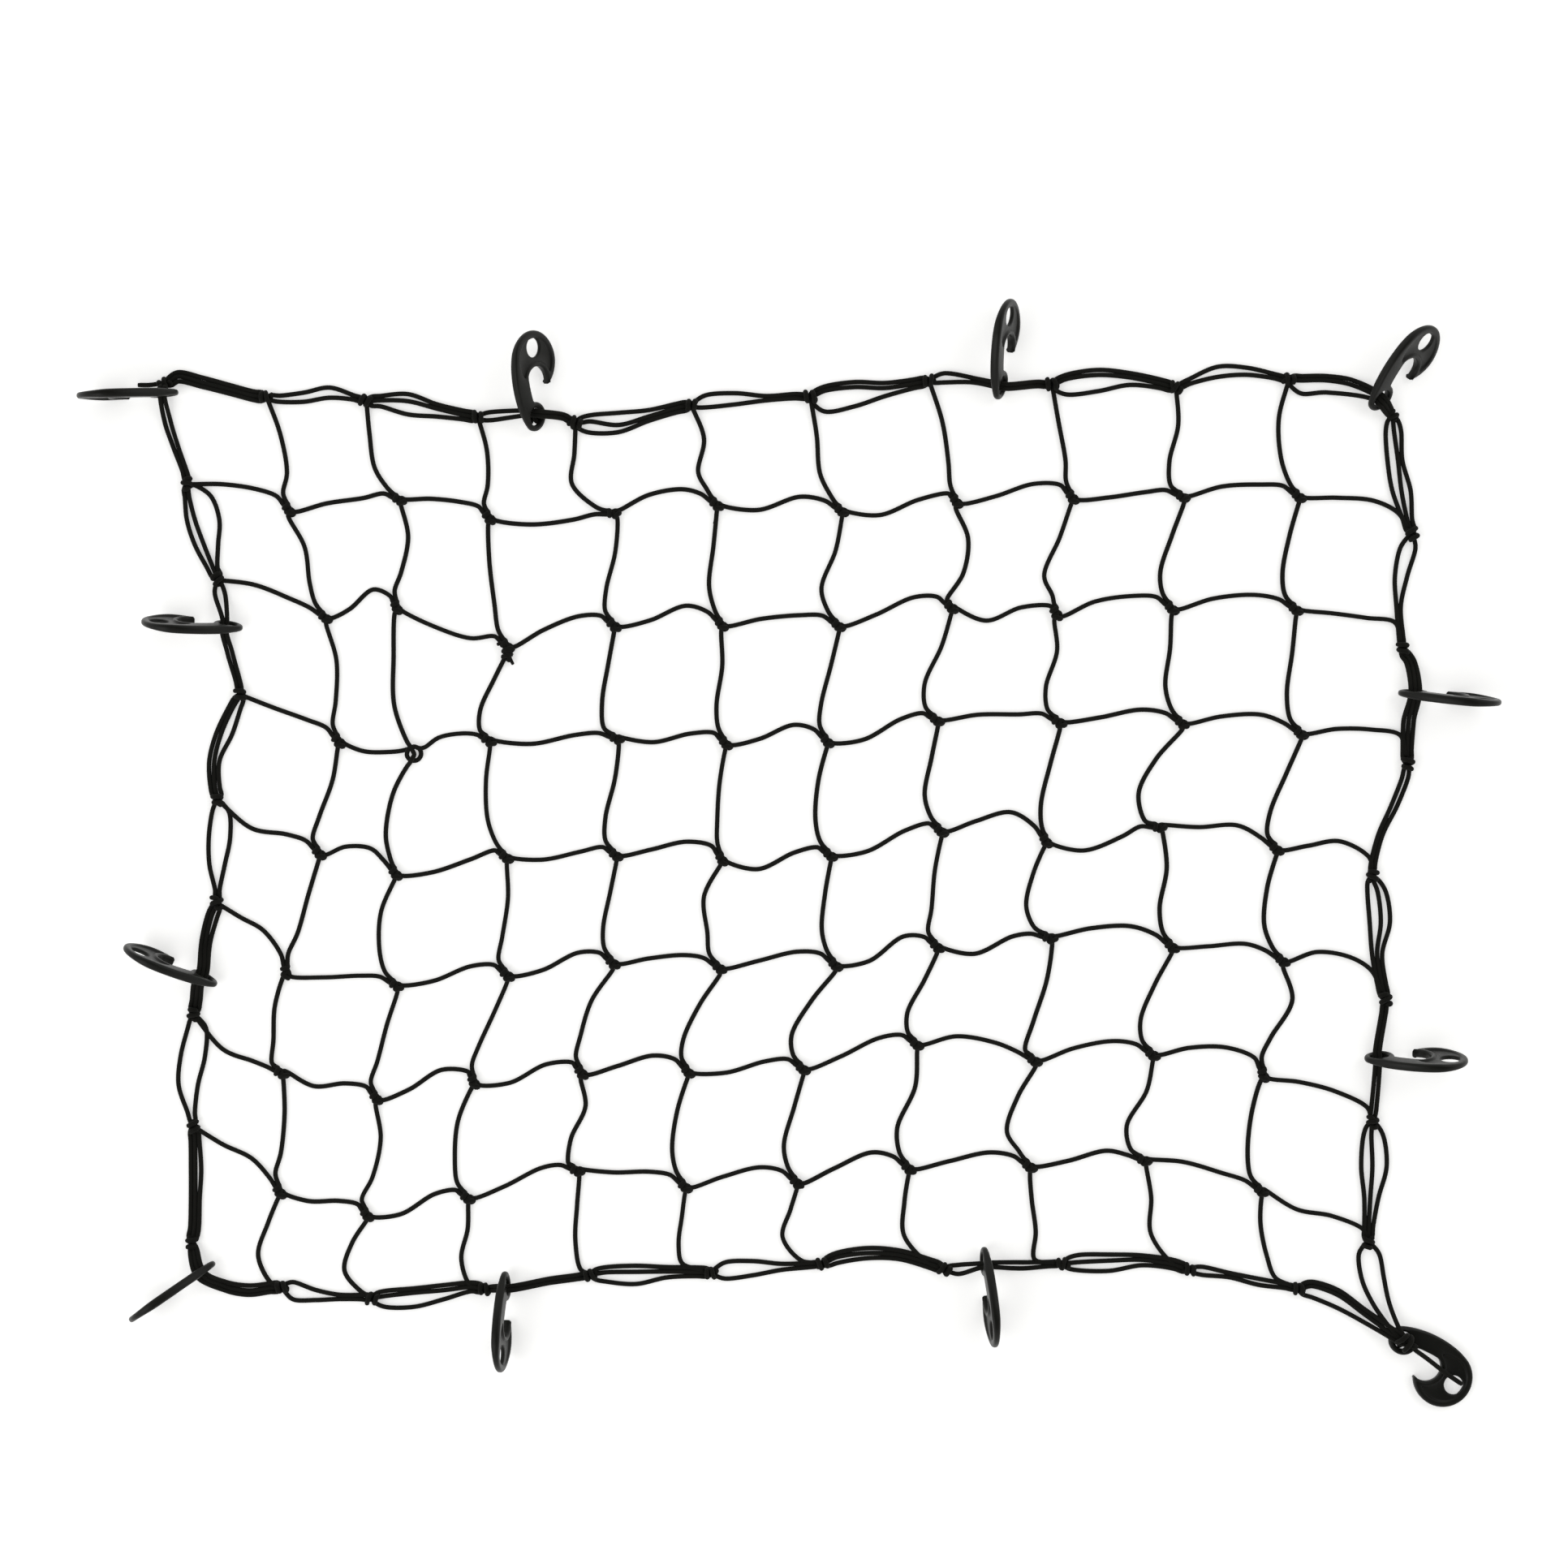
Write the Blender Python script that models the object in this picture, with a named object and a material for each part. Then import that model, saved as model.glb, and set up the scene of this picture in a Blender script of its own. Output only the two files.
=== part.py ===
"""Elastic cargo net lying flat: a knotted mesh of round cord, a doubled and
tripled rim of the same cord round it, and twelve moulded hooks on the rim.
All sizes in the tables are millimetres. X runs along the net, Y across it, Z up."""

import math

import bmesh
import bpy
from mathutils import Matrix, Vector

# ---------------------------------------------------------------- driving sizes
MM = 0.001
MIDDLE = (-6.05, -4.95)     # middle of the whole outline, in the tables' plan
CORD = 4.0                  # round elastic cord
SIDES = 6                   # sides of a modelled cord, same area as the round one
RING = CORD / 2 * math.sqrt(math.pi / (3 * math.sin(math.radians(60))))
FLAT = RING * math.sin(math.radians(60))    # from its axis to its flat underside
START_GAP = 1.2             # gap between a mesh cord's first end and its rim knot
PITCH = 4.9                 # least distance between the axes of two rim cords
KNOT_SIZE = 5.9             # radius of a mesh knot
RIM_KNOT_SIZE = 6.6         # radius of a rim knot
KNOT_TOP = 7.6              # height of a knot
KNOT_AXIS = 2.3             # height at which the cords enter a knot
NECK = 16.0                 # the two cords that enter a mesh knot meet this far off
NECK_SIDE = 3.3             # half the distance between them there
NECK_FAN = 31.0             # half the angle between them at the knot
JOIN = 16.0                 # a mesh cord runs beside the rim this far to its rim knot
JOIN_SIDE = 5.4             # and this far in from the nearest rim cord's axis
JOIN_END = 1.9              # gap between its end and the rim knot
SEAT = 5.0                  # half of the straight length of a cord in a hook's eye
SEAT_REACH = 28.0           # a hook's eye replaces any bow this near to it
SEAT_PITCH = 4.6            # distance between the axes of two cords in a hook's eye
FAN = {2: 48.0, 3: 45.0}    # angle between two neighbouring rim cords at a knot
END_KNOT_SIZE = 10.0        # radius of the knot on the flat hook's eye
END_FAN = 28.0              # angle between two neighbouring cords at that knot
TAIL = 21.0                 # free end at the top left corner knot

HOOK_EYE = 14.4             # radius of the eye's disc, centred on the hook's origin
HOOK_EYE_HOLE = 8.5
HOOK_HEAD = 29.3            # radius of the head's disc
HOOK_HEAD_AT = (53.5, 0.0)
HOOK_MOUTH = 14.7           # radius of the mouth
HOOK_MOUTH_AT = (33.7, -3.3)
HOOK_HOLE = 9.3             # radius of the hole in the crown
HOOK_HOLE_AT = (66.3, 1.6)
HOOK_BACK = 98.4            # radius of the shank's back
HOOK_BACK_AT = (49.6, -68.5)
HOOK_THROAT = (12.7, 4.1)   # where the shank's inner edge meets the eye
HOOK_TIP = (30.4, -17.3)
HOOK_THICK = 8.4            # at the shank, between the two stations below
HOOK_THIN = 5.8             # at both ends
HOOK_FULL = (8.0, 52.0)
HOOK_ENDS = (-14.4, 82.8)
HOOK_PITCH = math.degrees(math.asin((HOOK_HEAD - HOOK_EYE) / HOOK_HEAD_AT[0]))

# ---------------------------------------------------------------- mesh knots
# Each knot: row, column, its place, the way it points (degrees), then how far its
# cord from the left bows up, and its cord from above bows right, one third and two
# thirds of the way to it.
COLUMNS = 10
ROWS = 7
MESH = (
    # row, col,    x,    y,  lay, left1, left2, above1, above2
    (1, 1, -496, 336, -60, 9, 13, 6, 5),
    (1, 2, -387, 346, -35, 4, 6, -8, -14),
    (1, 3, -299, 328, -60, 8, 11, 5, 2),
    (1, 4, -176, 333, -10, -7, -4, -14, -29),
    (1, 5, -75, 341, -48, 16, 19, 4, -10),
    (1, 6, 48, 335, -45, -2, 13, -4, -11),
    (1, 7, 161, 344, -60, -6, 6, 4, 1),
    (1, 8, 275, 348, -60, 5, 16, 0, 0),
    (1, 9, 384, 349, -35, 1, 6, 0, -11),
    (1, 10, 498, 349, -48, 11, 13, -13, -14),
    (2, 1, -460, 230, -45, 8, 7, 3, -4),
    (2, 2, -390, 240, -60, 6, 22, 9, 3),
    (2, 3, -281, 202, -50, -5, -4, -6, -7),
    (2, 4, -176, 222, -50, 10, 17, 1, -8),
    (2, 5, -70, 223, -55, 6, 20, -5, -11),
    (2, 6, 45, 222, -45, 7, 11, -5, -18),
    (2, 7, 156, 240, -50, 6, 17, 13, 10),
    (2, 8, 259, 234, -50, -10, 5, -7, -17),
    (2, 9, 373, 239, -50, 11, 15, -7, -15),
    (2, 10, 495, 238, -45, 11, 15, -8, -14),
    (3, 1, -447, 108, -60, 3, 7, 6, 1),
    (3, 2, -373, 97, -50, -5, -2, -9, -14),
    (3, 3, -299, 109, -40, 12, 12, -7, -15),
    (3, 4, -173, 111, -30, -3, 5, -7, -14),
    (3, 5, -66, 106, -55, -1, 9, -1, -8),
    (3, 6, 34, 108, -55, 5, 18, -4, -10),
    (3, 7, 142, 129, -40, -4, 9, -5, -17),
    (3, 8, 262, 127, -40, 7, 8, 0, -12),
    (3, 9, 383, 126, -45, 6, 14, -5, -13),
    (3, 10, 500, 116, -45, 11, 16, -5, -12),
    (4, 1, -466, -2, -55, -10, 2, 0, -7),
    (4, 2, -391, -22, -60, 14, 19, -15, -16),
    (4, 3, -282, -6, -45, -3, 4, -9, -13),
    (4, 4, -174, -4, -45, -2, 5, -2, -11),
    (4, 5, -70, -8, -65, 8, 17, -5, -6),
    (4, 6, 37, -4, -45, -10, 5, -10, -14),
    (4, 7, 146, 20, -45, -3, 9, -7, -15),
    (4, 8, 249, 10, -65, 14, 26, -4, -9),
    (4, 9, 361, 24, -15, -13, -4, -18, -28),
    (4, 10, 476, 2, -50, 8, 17, -6, -14),
    (5, 1, -499, -119, -85, 9, 19, 0, 0),
    (5, 2, -390, -132, -40, 0, 6, -15, -17),
    (5, 3, -281, -122, -50, 2, 13, 1, -5),
    (5, 4, -177, -110, -50, 2, 15, -5, -11),
    (5, 5, -72, -115, -45, 7, 12, -17, -13),
    (5, 6, 42, -112, -50, 7, 15, -7, -12),
    (5, 7, 142, -94, -50, -1, 17, -5, -7),
    (5, 8, 253, -85, -25, -9, 5, -14, -22),
    (5, 9, 373, -94, -50, 13, 18, 3, -8),
    (5, 10, 482, -108, -45, 6, 13, -11, -16),
    (6, 1, -503, -218, -35, -15, -7, -10, -10),
    (6, 2, -410, -243, -60, -4, 7, -3, -6),
    (6, 3, -314, -227, -72, 4, 18, -2, -7),
    (6, 4, -208, -218, -60, -3, 12, -11, -12),
    (6, 5, -103, -217, -55, 7, 17, -9, -15),
    (6, 6, 10, -214, -45, -1, 9, -13, -22),
    (6, 7, 122, -190, -45, 5, 15, -6, -16),
    (6, 8, 238, -206, -40, 14, 13, 2, -6),
    (6, 9, 354, -200, -45, 11, 16, -10, -18),
    (6, 10, 463, -220, -75, 14, 21, 16, 1),
    (7, 1, -505, -335, -65, 4, 12, 3, 0),
    (7, 2, -419, -358, -60, -1, 7, 7, 2),
    (7, 3, -320, -341, -45, -4, 10, -14, -15),
    (7, 4, -212, -314, -30, 3, 12, 5, -8),
    (7, 5, -106, -330, -50, 4, 10, -10, -14),
    (7, 6, 4, -326, -50, 9, 17, -7, -15),
    (7, 7, 114, -312, -50, 10, 21, 1, -14),
    (7, 8, 233, -310, -45, 7, 15, -15, -24),
    (7, 9, 346, -304, -30, 4, 12, -3, -20),
    (7, 10, 461, -334, -45, 9, 8, -11, -14),
)
# Bows of the last cord of each row, at the right rim, and of each column, at the
# bottom rim.
ROW_ENDS = (
    # row, bow1, bow2
    (1, 12, 21),
    (2, 10, 18),
    (3, 15, 24),
    (4, 13, 26),
    (5, 22, 29),
    (6, 9, 15),
    (7, -1, 9),
)
COLUMN_ENDS = (
    # column, bow1, bow2
    (1, -13, -23),
    (2, -17, -26),
    (3, -6, -18),
    (4, -5, -11),
    (5, -12, -24),
    (6, -15, -31),
    (7, -16, -28),
    (8, -9, -16),
    (9, -8, -23),
    (10, -13, -19),
)

# ---------------------------------------------------------------- rim
RIM_KNOTS = {
    # name: x, y, height of its underside, the way the mesh lies from it
    "T0": (-618, 465, 0, None),
    "T1": (-518, 448, 0, -90),
    "T2": (-420, 444, 0, -90),
    "T3": (-310, 428, 0, -90),
    "T4": (-214, 422, 0, -90),
    "T5": (-100, 440, 0, -90),
    "T6": (17, 448, 0, -90),
    "T7": (134, 464, 0, -90),
    "T8": (255, 460, 0, -90),
    "T9": (377, 457, 0, -90),
    "T10": (488, 465, 0, -90),
    "R0": (593, 429, 0, None),
    "R1": (609, 313, 0, 180),
    "R2": (600, 200, 0, 180),
    "R3": (605, 87, 0, 180),
    "R4": (570, -24, 0, 180),
    "R5": (583, -145, 0, 180),
    "R6": (570, -266, 0, 180),
    "R7": (566, -384, 0, 180),
    "B1": (-503, -428, 0, 90),
    "B2": (-414, -439, 0, 90),
    "B3": (-303, -430, 0, 90),
    "B4": (-199, -416, 0, 90),
    "B5": (-80, -414, 0, 90),
    "B6": (29, -405, 0, 90),
    "B7": (149, -410, 0, 90),
    "B8": (266, -405, 0, 90),
    "B9": (390, -411, 0, 90),
    "B10": (498, -430, 0, 90),
    "B11": (601, -481, 9.0, None),
    "L1": (-596, 362, 0, 0),
    "L2": (-566, 268, 0, 0),
    "L3": (-544, 155, 0, 0),
    "L4": (-566, 51, 0, 0),
    "L5": (-567, -50, 0, 0),
    "L6": (-590, -160, 0, 0),
    "L7": (-590, -270, 0, 0),
    "L8": (-592, -384, 0, None),
}
# Each run of rim cords: its two knots, the hook threaded on it, then for each cord
# how far it bows up (or right, on the two short sides) one third and two thirds along.
RUNS = (
    ("T0", "T1", None, (13, 10), (8, 6), (4, -2)),
    ("T1", "T2", None, (6, 10), (-4, 3)),
    ("T2", "T3", None, (13, 5), (6, 3), (-6, -5)),
    ("T3", "T4", "H2", (7, 14), (-2, 8)),
    ("T4", "T5", None, (5, 1), (-7, -5), (-15, -9)),
    ("T5", "T6", None, (9, 3), (-2, 1)),
    ("T6", "T7", None, (11, 3), (5, -1), (-16, -7)),
    ("T7", "T8", "H3", (4, 1), (0, -3)),
    ("T8", "T9", None, (17, 13), (11, 9), (-7, 3)),
    ("T9", "T10", None, (17, 14), (8, 7)),
    ("T10", "R0", "H4", (15, 23), (11, 19), (-2, 10)),
    ("R0", "R1", None, (-11, -11), (0, -3), (4, 7)),
    ("R1", "R2", None, (-12, -8), (0, -5)),
    ("R2", "R3", "H5", (5, -2), (10, 3), (15, 8)),
    ("R3", "R4", None, (-3, -5), (5, -4)),
    ("R4", "R5", None, (-7, -8), (4, -4), (15, 1)),
    ("R5", "R6", "H6", (-4, -2), (1, 3)),
    ("R6", "R7", None, (-10, -4), (2, 1), (17, 9)),
    ("R7", "B11", None, (-19, -17), (-3, -8)),
    ("T0", "L1", "H1", (-8, -7), (-3, -3)),
    ("L1", "L2", None, (-11, -11), (-4, -2), (20, 10)),
    ("L2", "L3", "H12", (-3, -5), (2, 0)),
    ("L3", "L4", None, (-15, -15), (-11, -11), (3, -7)),
    ("L4", "L5", None, (-9, -7), (14, 6)),
    ("L5", "L6", "H11", (-8, -9), (-4, -5), (1, 1)),
    ("L6", "L7", None, (-13, -15), (12, 3)),
    ("L7", "L8", None, (-3, -2), (2, 2), (8, 7)),
    ("L8", "B1", "H10", (-31, -22), (-28, -18), (-25, -14)),
    ("B1", "B2", None, (2, -1), (-10, -5)),
    ("B2", "B3", None, (5, 5), (1, 1), (-12, -7)),
    ("B3", "B4", "H9", (1, 1), (-5, -3)),
    ("B4", "B5", None, (6, 5), (-1, 1), (-11, -3)),
    ("B5", "B6", None, (9, 2), (-6, -2)),
    ("B6", "B7", None, (14, 14), (9, 10), (4, 5)),
    ("B7", "B8", "H8", (3, 3), (-3, -3)),
    ("B8", "B9", None, (11, 11), (4, 7), (-6, 2)),
    ("B9", "B10", None, (3, 1), (-1, -3)),
    ("B10", "B11", None, (12, 10), (8, 6), (-2, -1)),
)
# The free end at the corner knot "B11", lying over its hook: x, y, height.
END_RUN = ((622, -497, 11.2), (656, -522, 10.6))
# Where the cords of a run leave a crowded corner knot: knot, run, middle bearing.
CORNERS = {
    ("T0", ("T0", "T1")): 17,
    ("T0", ("T0", "L1")): -98,
    ("B11", ("R7", "B11")): 84,
    ("B11", ("B10", "B11")): 155,
}

# ---------------------------------------------------------------- hooks
# Each hook: its eye's middle, the way it points, the side its tip shows on (1 left of
# that way, -1 right), its lean, then how far below the eye's middle its cords run.
# A hook without a lean lies flat on its side.
HOOKS = (
    # name,      x,   y, points, tip, lean, cords
    ("H1", -617, 449, 183, -1, 4, 4.0),
    ("H2", -255, 431, 90, -1, 42, 2.3),
    ("H3", 202, 457, 83, -1, 24, 3.6),
    ("H4", 575, 443, 55, -1, 30, 0.4),
    ("H5", 605, 157, -5, 1, 6, 2.0),
    ("H6", 572, -200, -2, 1, 17, 4.3),
    ("H7", 601, -481, -44, -1, None, 0.0),
    ("H8", 191, -404, -83, -1, 12, 4.6),
    ("H9", -285, -426, -91, 1, 11, 4.4),
    ("H10", -581, -411, 215, 1, 0, 2.0),
    ("H11", -581, -123, 158, -1, 12, 2.0),
    ("H12", -557, 221, 176, -1, 15, 4.2),
)


def heading(degrees):
    angle = math.radians(degrees)
    return Vector((math.cos(angle), math.sin(angle), 0.0))


def bearing(vector):
    return math.degrees(math.atan2(vector.y, vector.x))


def near(angle, about):
    """The same bearing, written within half a turn of another."""
    return about + (angle - about + 180.0) % 360.0 - 180.0


def material(name, colour, roughness):
    made = bpy.data.materials.new(name)
    made.use_nodes = True
    shader = made.node_tree.nodes["Principled BSDF"]
    shader.inputs["Base Color"].default_value = colour
    shader.inputs["Roughness"].default_value = roughness
    return made


# ---------------------------------------------------------------- cords
def ring(bm, at, along, capped=False):
    """One six-sided section of a cord, with a flat side down."""
    along = along.normalized()
    side = Vector((0, 0, 1)).cross(along).normalized()
    rise = along.cross(side)
    place = Matrix((rise, side, along)).transposed().to_4x4()
    place.translation = at
    made = bmesh.ops.create_circle(
        bm, cap_ends=capped, segments=SIDES, radius=RING, matrix=place
    )["verts"]
    members = set(made)
    return [e for v in made for e in v.link_edges if e.other_vert(v) in members]


def bridge(bm, first, second):
    edges = list(dict.fromkeys(first + second))
    bmesh.ops.bridge_loops(bm, edges=edges)


def knot(bm, at, size, top, bearings):
    """A knot with a six-sided port for a cord on each bearing; returns the ports' edges."""
    count = 2 * len(bearings)
    half = math.degrees(math.asin(RING / size))
    order = sorted(range(len(bearings)), key=lambda i: bearings[i] % 360)
    meridians = [bearings[i] + turn for i in order for turn in (-half, half)]
    ball = bmesh.ops.create_uvsphere(bm, u_segments=count, v_segments=4, radius=1.0)
    step = 2 * math.pi / count
    start = None
    grid = {}
    for vert in ball["verts"]:
        if abs(vert.co.z) > 0.9:
            rise = top - at.z if vert.co.z > 0 else -KNOT_AXIS + 0.02
            vert.co = at + Vector((0, 0, rise))
            continue
        angle = math.atan2(vert.co.y, vert.co.x)
        start = angle if start is None else start
        place = round((angle - start) / step) % count
        level = round(vert.co.z / 0.7)
        grid[place, level] = vert
    for (place, level), vert in grid.items():
        reach = size if level == 0 else 0.95 * size
        vert.co = at + heading(meridians[place]) * reach
        vert.co.z += level * FLAT
    ports = [None] * len(bearings)
    for slot, index in enumerate(order):
        a, b = 2 * slot, 2 * slot + 1
        faces = [
            bm.faces.get([grid[a, 0], grid[b, 0], grid[b, level], grid[a, level]])
            for level in (-1, 1)
        ]
        bmesh.ops.delete(bm, geom=faces, context="FACES")
        loop = [grid[a, 1], grid[b, 1], grid[b, 0], grid[b, -1], grid[a, -1], grid[a, 0]]
        ports[index] = [bm.edges.get((loop[i - 1], loop[i])) for i in range(6)]
    return ports


def cord(bm, first, stations, last):
    """A cord from one port, through its stations, to the next port or a free end.
    A port is its edges and its middle."""
    points = [first[1]] + stations + [last[1]]
    before = first[0]
    for i in range(1, len(points)):
        final = i == len(points) - 1
        if final and last[0] is not None:
            section = last[0]
        else:
            along = points[min(i + 1, len(points) - 1)] - points[i - 1]
            section = ring(bm, points[i], along, capped=final)
        bridge(bm, before, section)
        before = section


def bowed(start, end, bows, upright):
    """Points one third and two thirds along, set off up (or right if upright)."""
    off = Vector((1, 0, 0)) if upright else Vector((0, 1, 0))
    return [start.lerp(end, (i + 1) / 3) + off * bow for i, bow in enumerate(bows)]


def spaced(values):
    """Values in falling order, moved apart to the least pitch about their mean."""
    values = sorted(values, reverse=True)
    for _ in range(30):
        for i in range(1, len(values)):
            lack = PITCH - (values[i - 1] - values[i])
            if lack > 0:
                values[i - 1] += lack / 2
                values[i] -= lack / 2
    return values


# ---------------------------------------------------------------- hooks
def hook_frames():
    """Each hook's place: its own X along it, Y to its back, Z through its eye."""
    frames = {}
    for name, x, y, points, tip, lean, _ in HOOKS:
        if lean is not None:
            rolled = math.tan(math.radians(HOOK_PITCH)) * math.sin(math.radians(lean))
            points += tip * math.degrees(math.atan(rolled))
        ahead = heading(points)
        aside = heading(points + 90 * tip)
        if lean is None:
            along, back = ahead, -aside
            height = HOOK_THICK / 2
        else:
            tilt = math.radians(lean)
            rise = Vector((0, 0, 1)) * math.cos(tilt) - aside * math.sin(tilt)
            pitch = math.radians(HOOK_PITCH)
            along = ahead * math.cos(pitch) + rise * math.sin(pitch)
            back = rise * math.cos(pitch) - ahead * math.sin(pitch)
            height = HOOK_EYE * math.cos(tilt) + HOOK_THICK / 2 * math.sin(tilt)
        frame = Matrix((along, back, along.cross(back))).transposed().to_4x4()
        frame.translation = Vector((x, y, height))
        frames[name] = frame
    return frames


def arc(at, radius, first, last, steps):
    turns = [math.radians(first + (last - first) * i / steps) for i in range(steps + 1)]
    return [(at[0] + radius * math.cos(t), at[1] + radius * math.sin(t)) for t in turns]


def hook_outline():
    eye, head, back = (0.0, 0.0), HOOK_HEAD_AT, HOOK_BACK_AT
    tangent = 126.0
    points = arc(back, HOOK_BACK, tangent, 90.0, 4)
    points += arc(head, HOOK_HEAD, 82.0, -138.0, 10)
    points += [HOOK_TIP]
    points += arc(HOOK_MOUTH_AT, HOOK_MOUTH, -93.0, 75.0, 7)
    points += arc(eye, HOOK_EYE, 14.0, -216.0, 8)
    return points


def half_thickness(u):
    if u < HOOK_FULL[0]:
        share = (u - HOOK_ENDS[0]) / (HOOK_FULL[0] - HOOK_ENDS[0])
    elif u > HOOK_FULL[1]:
        share = (HOOK_ENDS[1] - u) / (HOOK_ENDS[1] - HOOK_FULL[1])
    else:
        share = 1.0
    return (HOOK_THIN + (HOOK_THICK - HOOK_THIN) * min(1.0, max(0.0, share))) / 2


def hook_mesh(name, frame):
    """A flat moulded hook: outline and two holes filled, drawn out, thinned to its ends."""
    bm = bmesh.new()
    edges = []
    holes = arc((0.0, 0.0), HOOK_EYE_HOLE, 0.0, 315.0, 7)
    crown = arc(HOOK_HOLE_AT, HOOK_HOLE, 0.0, 315.0, 7)
    for loop in (hook_outline(), holes, crown):
        verts = [bm.verts.new((u, v, -1.0)) for u, v in loop]
        edges += [bm.edges.new((verts[i - 1], verts[i])) for i in range(len(verts))]
    bmesh.ops.triangle_fill(bm, use_beauty=True, edges=edges)
    drawn = bmesh.ops.extrude_face_region(bm, geom=bm.faces[:])["geom"]
    for item in drawn:
        if isinstance(item, bmesh.types.BMVert):
            item.co.z = 1.0
    for vert in bm.verts:
        vert.co.z *= half_thickness(vert.co.x)
    bmesh.ops.recalc_face_normals(bm, faces=bm.faces[:])
    bm.transform(frame)
    lowest = min(vert.co.z for vert in bm.verts)
    bmesh.ops.translate(bm, verts=bm.verts[:], vec=(0, 0, -lowest))
    return finish(bm, name)


# ---------------------------------------------------------------- assembly
def finish(bm, name):
    """The mesh in metres about the middle of the outline, as an object."""
    bmesh.ops.translate(bm, verts=bm.verts[:], vec=(-MIDDLE[0], -MIDDLE[1], 0))
    bmesh.ops.scale(bm, verts=bm.verts[:], vec=(MM, MM, MM))
    data = bpy.data.meshes.new(name)
    bm.to_mesh(data)
    bm.free()
    return bpy.data.objects.new(name, data)


def rim_fans():
    """For each rim knot, the bearing of every cord end of its runs, by run and rank."""
    fans = {name: {} for name in RIM_KNOTS}
    for run in RUNS:
        first, last, hook, bows = run[0], run[1], run[2], run[3:]
        a = Vector(RIM_KNOTS[first][:2] + (0,))
        b = Vector(RIM_KNOTS[last][:2] + (0,))
        upright = abs(b.y - a.y) > abs(b.x - a.x)
        mids = [
            a.lerp(b, share)
            + (Vector((1, 0, 0)) if upright else Vector((0, 1, 0)))
            * (sum(bow[i] for bow in bows) / len(bows))
            for i, share in enumerate((1 / 3, 2 / 3))
        ]
        leaving = CORNERS.get((first, run[:2]), bearing(mids[0] - a))
        arriving = CORNERS.get((last, run[:2]), bearing(mids[1] - b))
        for rank in range(len(bows)):
            turn = (len(bows) - 1) / 2 - rank
            last_fan = END_FAN if last == "B11" else FAN[len(bows)]
            fans[first][run[:2], rank] = leaving + turn * FAN[len(bows)]
            fans[last][run[:2], rank] = arriving - turn * last_fan
    fans["T0"]["tail"] = 187.0
    fans["B11"]["tail"] = -36.0
    return fans


def rim_mesh(fans, frames):
    """The rim, and each rim knot's arriving cords as a port and the last station."""
    bm = bmesh.new()
    ports = {}
    arriving = {name: [] for name in RIM_KNOTS}
    for name, (x, y, foot, _) in RIM_KNOTS.items():
        at = Vector((x, y, foot + KNOT_AXIS))
        size = RIM_KNOT_SIZE if name != "B11" else END_KNOT_SIZE
        keys = list(fans[name])
        made = knot(bm, at, size, foot + KNOT_TOP, [fans[name][key] for key in keys])
        for key, edges in zip(keys, made):
            ports[name, key] = (edges, at + heading(fans[name][key]) * size)
    seats = {hook[0]: -hook[6] for hook in HOOKS}
    for run in RUNS:
        first, last, hook, bows = run[0], run[1], run[2], run[3:]
        a = Vector(RIM_KNOTS[first][:2] + (FLAT,))
        b = Vector(RIM_KNOTS[last][:2] + (FLAT,))
        upright = abs(b.y - a.y) > abs(b.x - a.x)
        columns = [spaced(bow[i] for bow in bows) for i in (0, 1)]
        for rank in range(len(bows)):
            stations = bowed(a, b, (columns[0][rank], columns[1][rank]), upright)
            if last == "B11":
                stations[0].z, stations[1].z = FLAT, 5.0
            if hook:
                frame = frames[hook]
                across = frame.col[0].xyz
                up = Vector((1, 0, 0)) if upright else Vector((0, 1, 0))
                turn = math.copysign(SEAT_PITCH, across.dot(up))
                shift = ((len(bows) - 1) / 2 - rank) * turn
                seat = frame @ Vector((shift, seats[hook], 0))
                chord = (b - a).normalized()
                through = (frame.col[2].xyz * Vector((1, 1, 0.5))).normalized() * SEAT
                through *= math.copysign(1.0, through.dot(chord))
                reach = {i: (s - seat).dot(chord) for i, s in enumerate(stations)}
                kept = [stations[i] for i in reach if reach[i] < -SEAT_REACH]
                kept += [seat - through, seat + through]
                stations = kept + [stations[i] for i in reach if reach[i] > SEAT_REACH]
            key = (run[:2], rank)
            cord(bm, ports[first, key], stations, ports[last, key])
            arriving[last].append((ports[last, key][1], stations[-1]))
    corner = ports["T0", "tail"]
    end = corner[1] + heading(fans["T0"]["tail"]) * TAIL
    cord(bm, corner, [], (None, end))
    corner = ports["B11", "tail"]
    cord(bm, corner, [Vector(END_RUN[0])], (None, Vector(END_RUN[1])))
    bmesh.ops.recalc_face_normals(bm, faces=bm.faces[:])
    return finish(bm, "rim_cords"), arriving


def rim_contact(name, fans, gap):
    """Where a mesh cord ends at a rim knot: between the rim cords on its inner side."""
    x, y, _, inward = RIM_KNOTS[name]
    turns = sorted(near(value, inward) - inward for value in fans[name].values())
    lower = max(t for t in turns if t < 0)
    upper = min(t for t in turns if t > 0)
    way = heading(inward + (lower + upper) / 2)
    return Vector((x, y, FLAT)) + way * (RIM_KNOT_SIZE + gap)


def join(name, arriving):
    """Where a mesh cord turns in beside the rim cord nearest to it."""
    inward = heading(RIM_KNOTS[name][3])
    port, station = max(arriving[name], key=lambda pair: (pair[0] + pair[1]).dot(inward))
    along = (station - port).normalized()
    aside = Vector((-along.y, along.x, 0))
    aside *= math.copysign(JOIN_SIDE, aside.dot(inward))
    at = port + along * JOIN + aside
    at.z = FLAT
    return at


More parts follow.
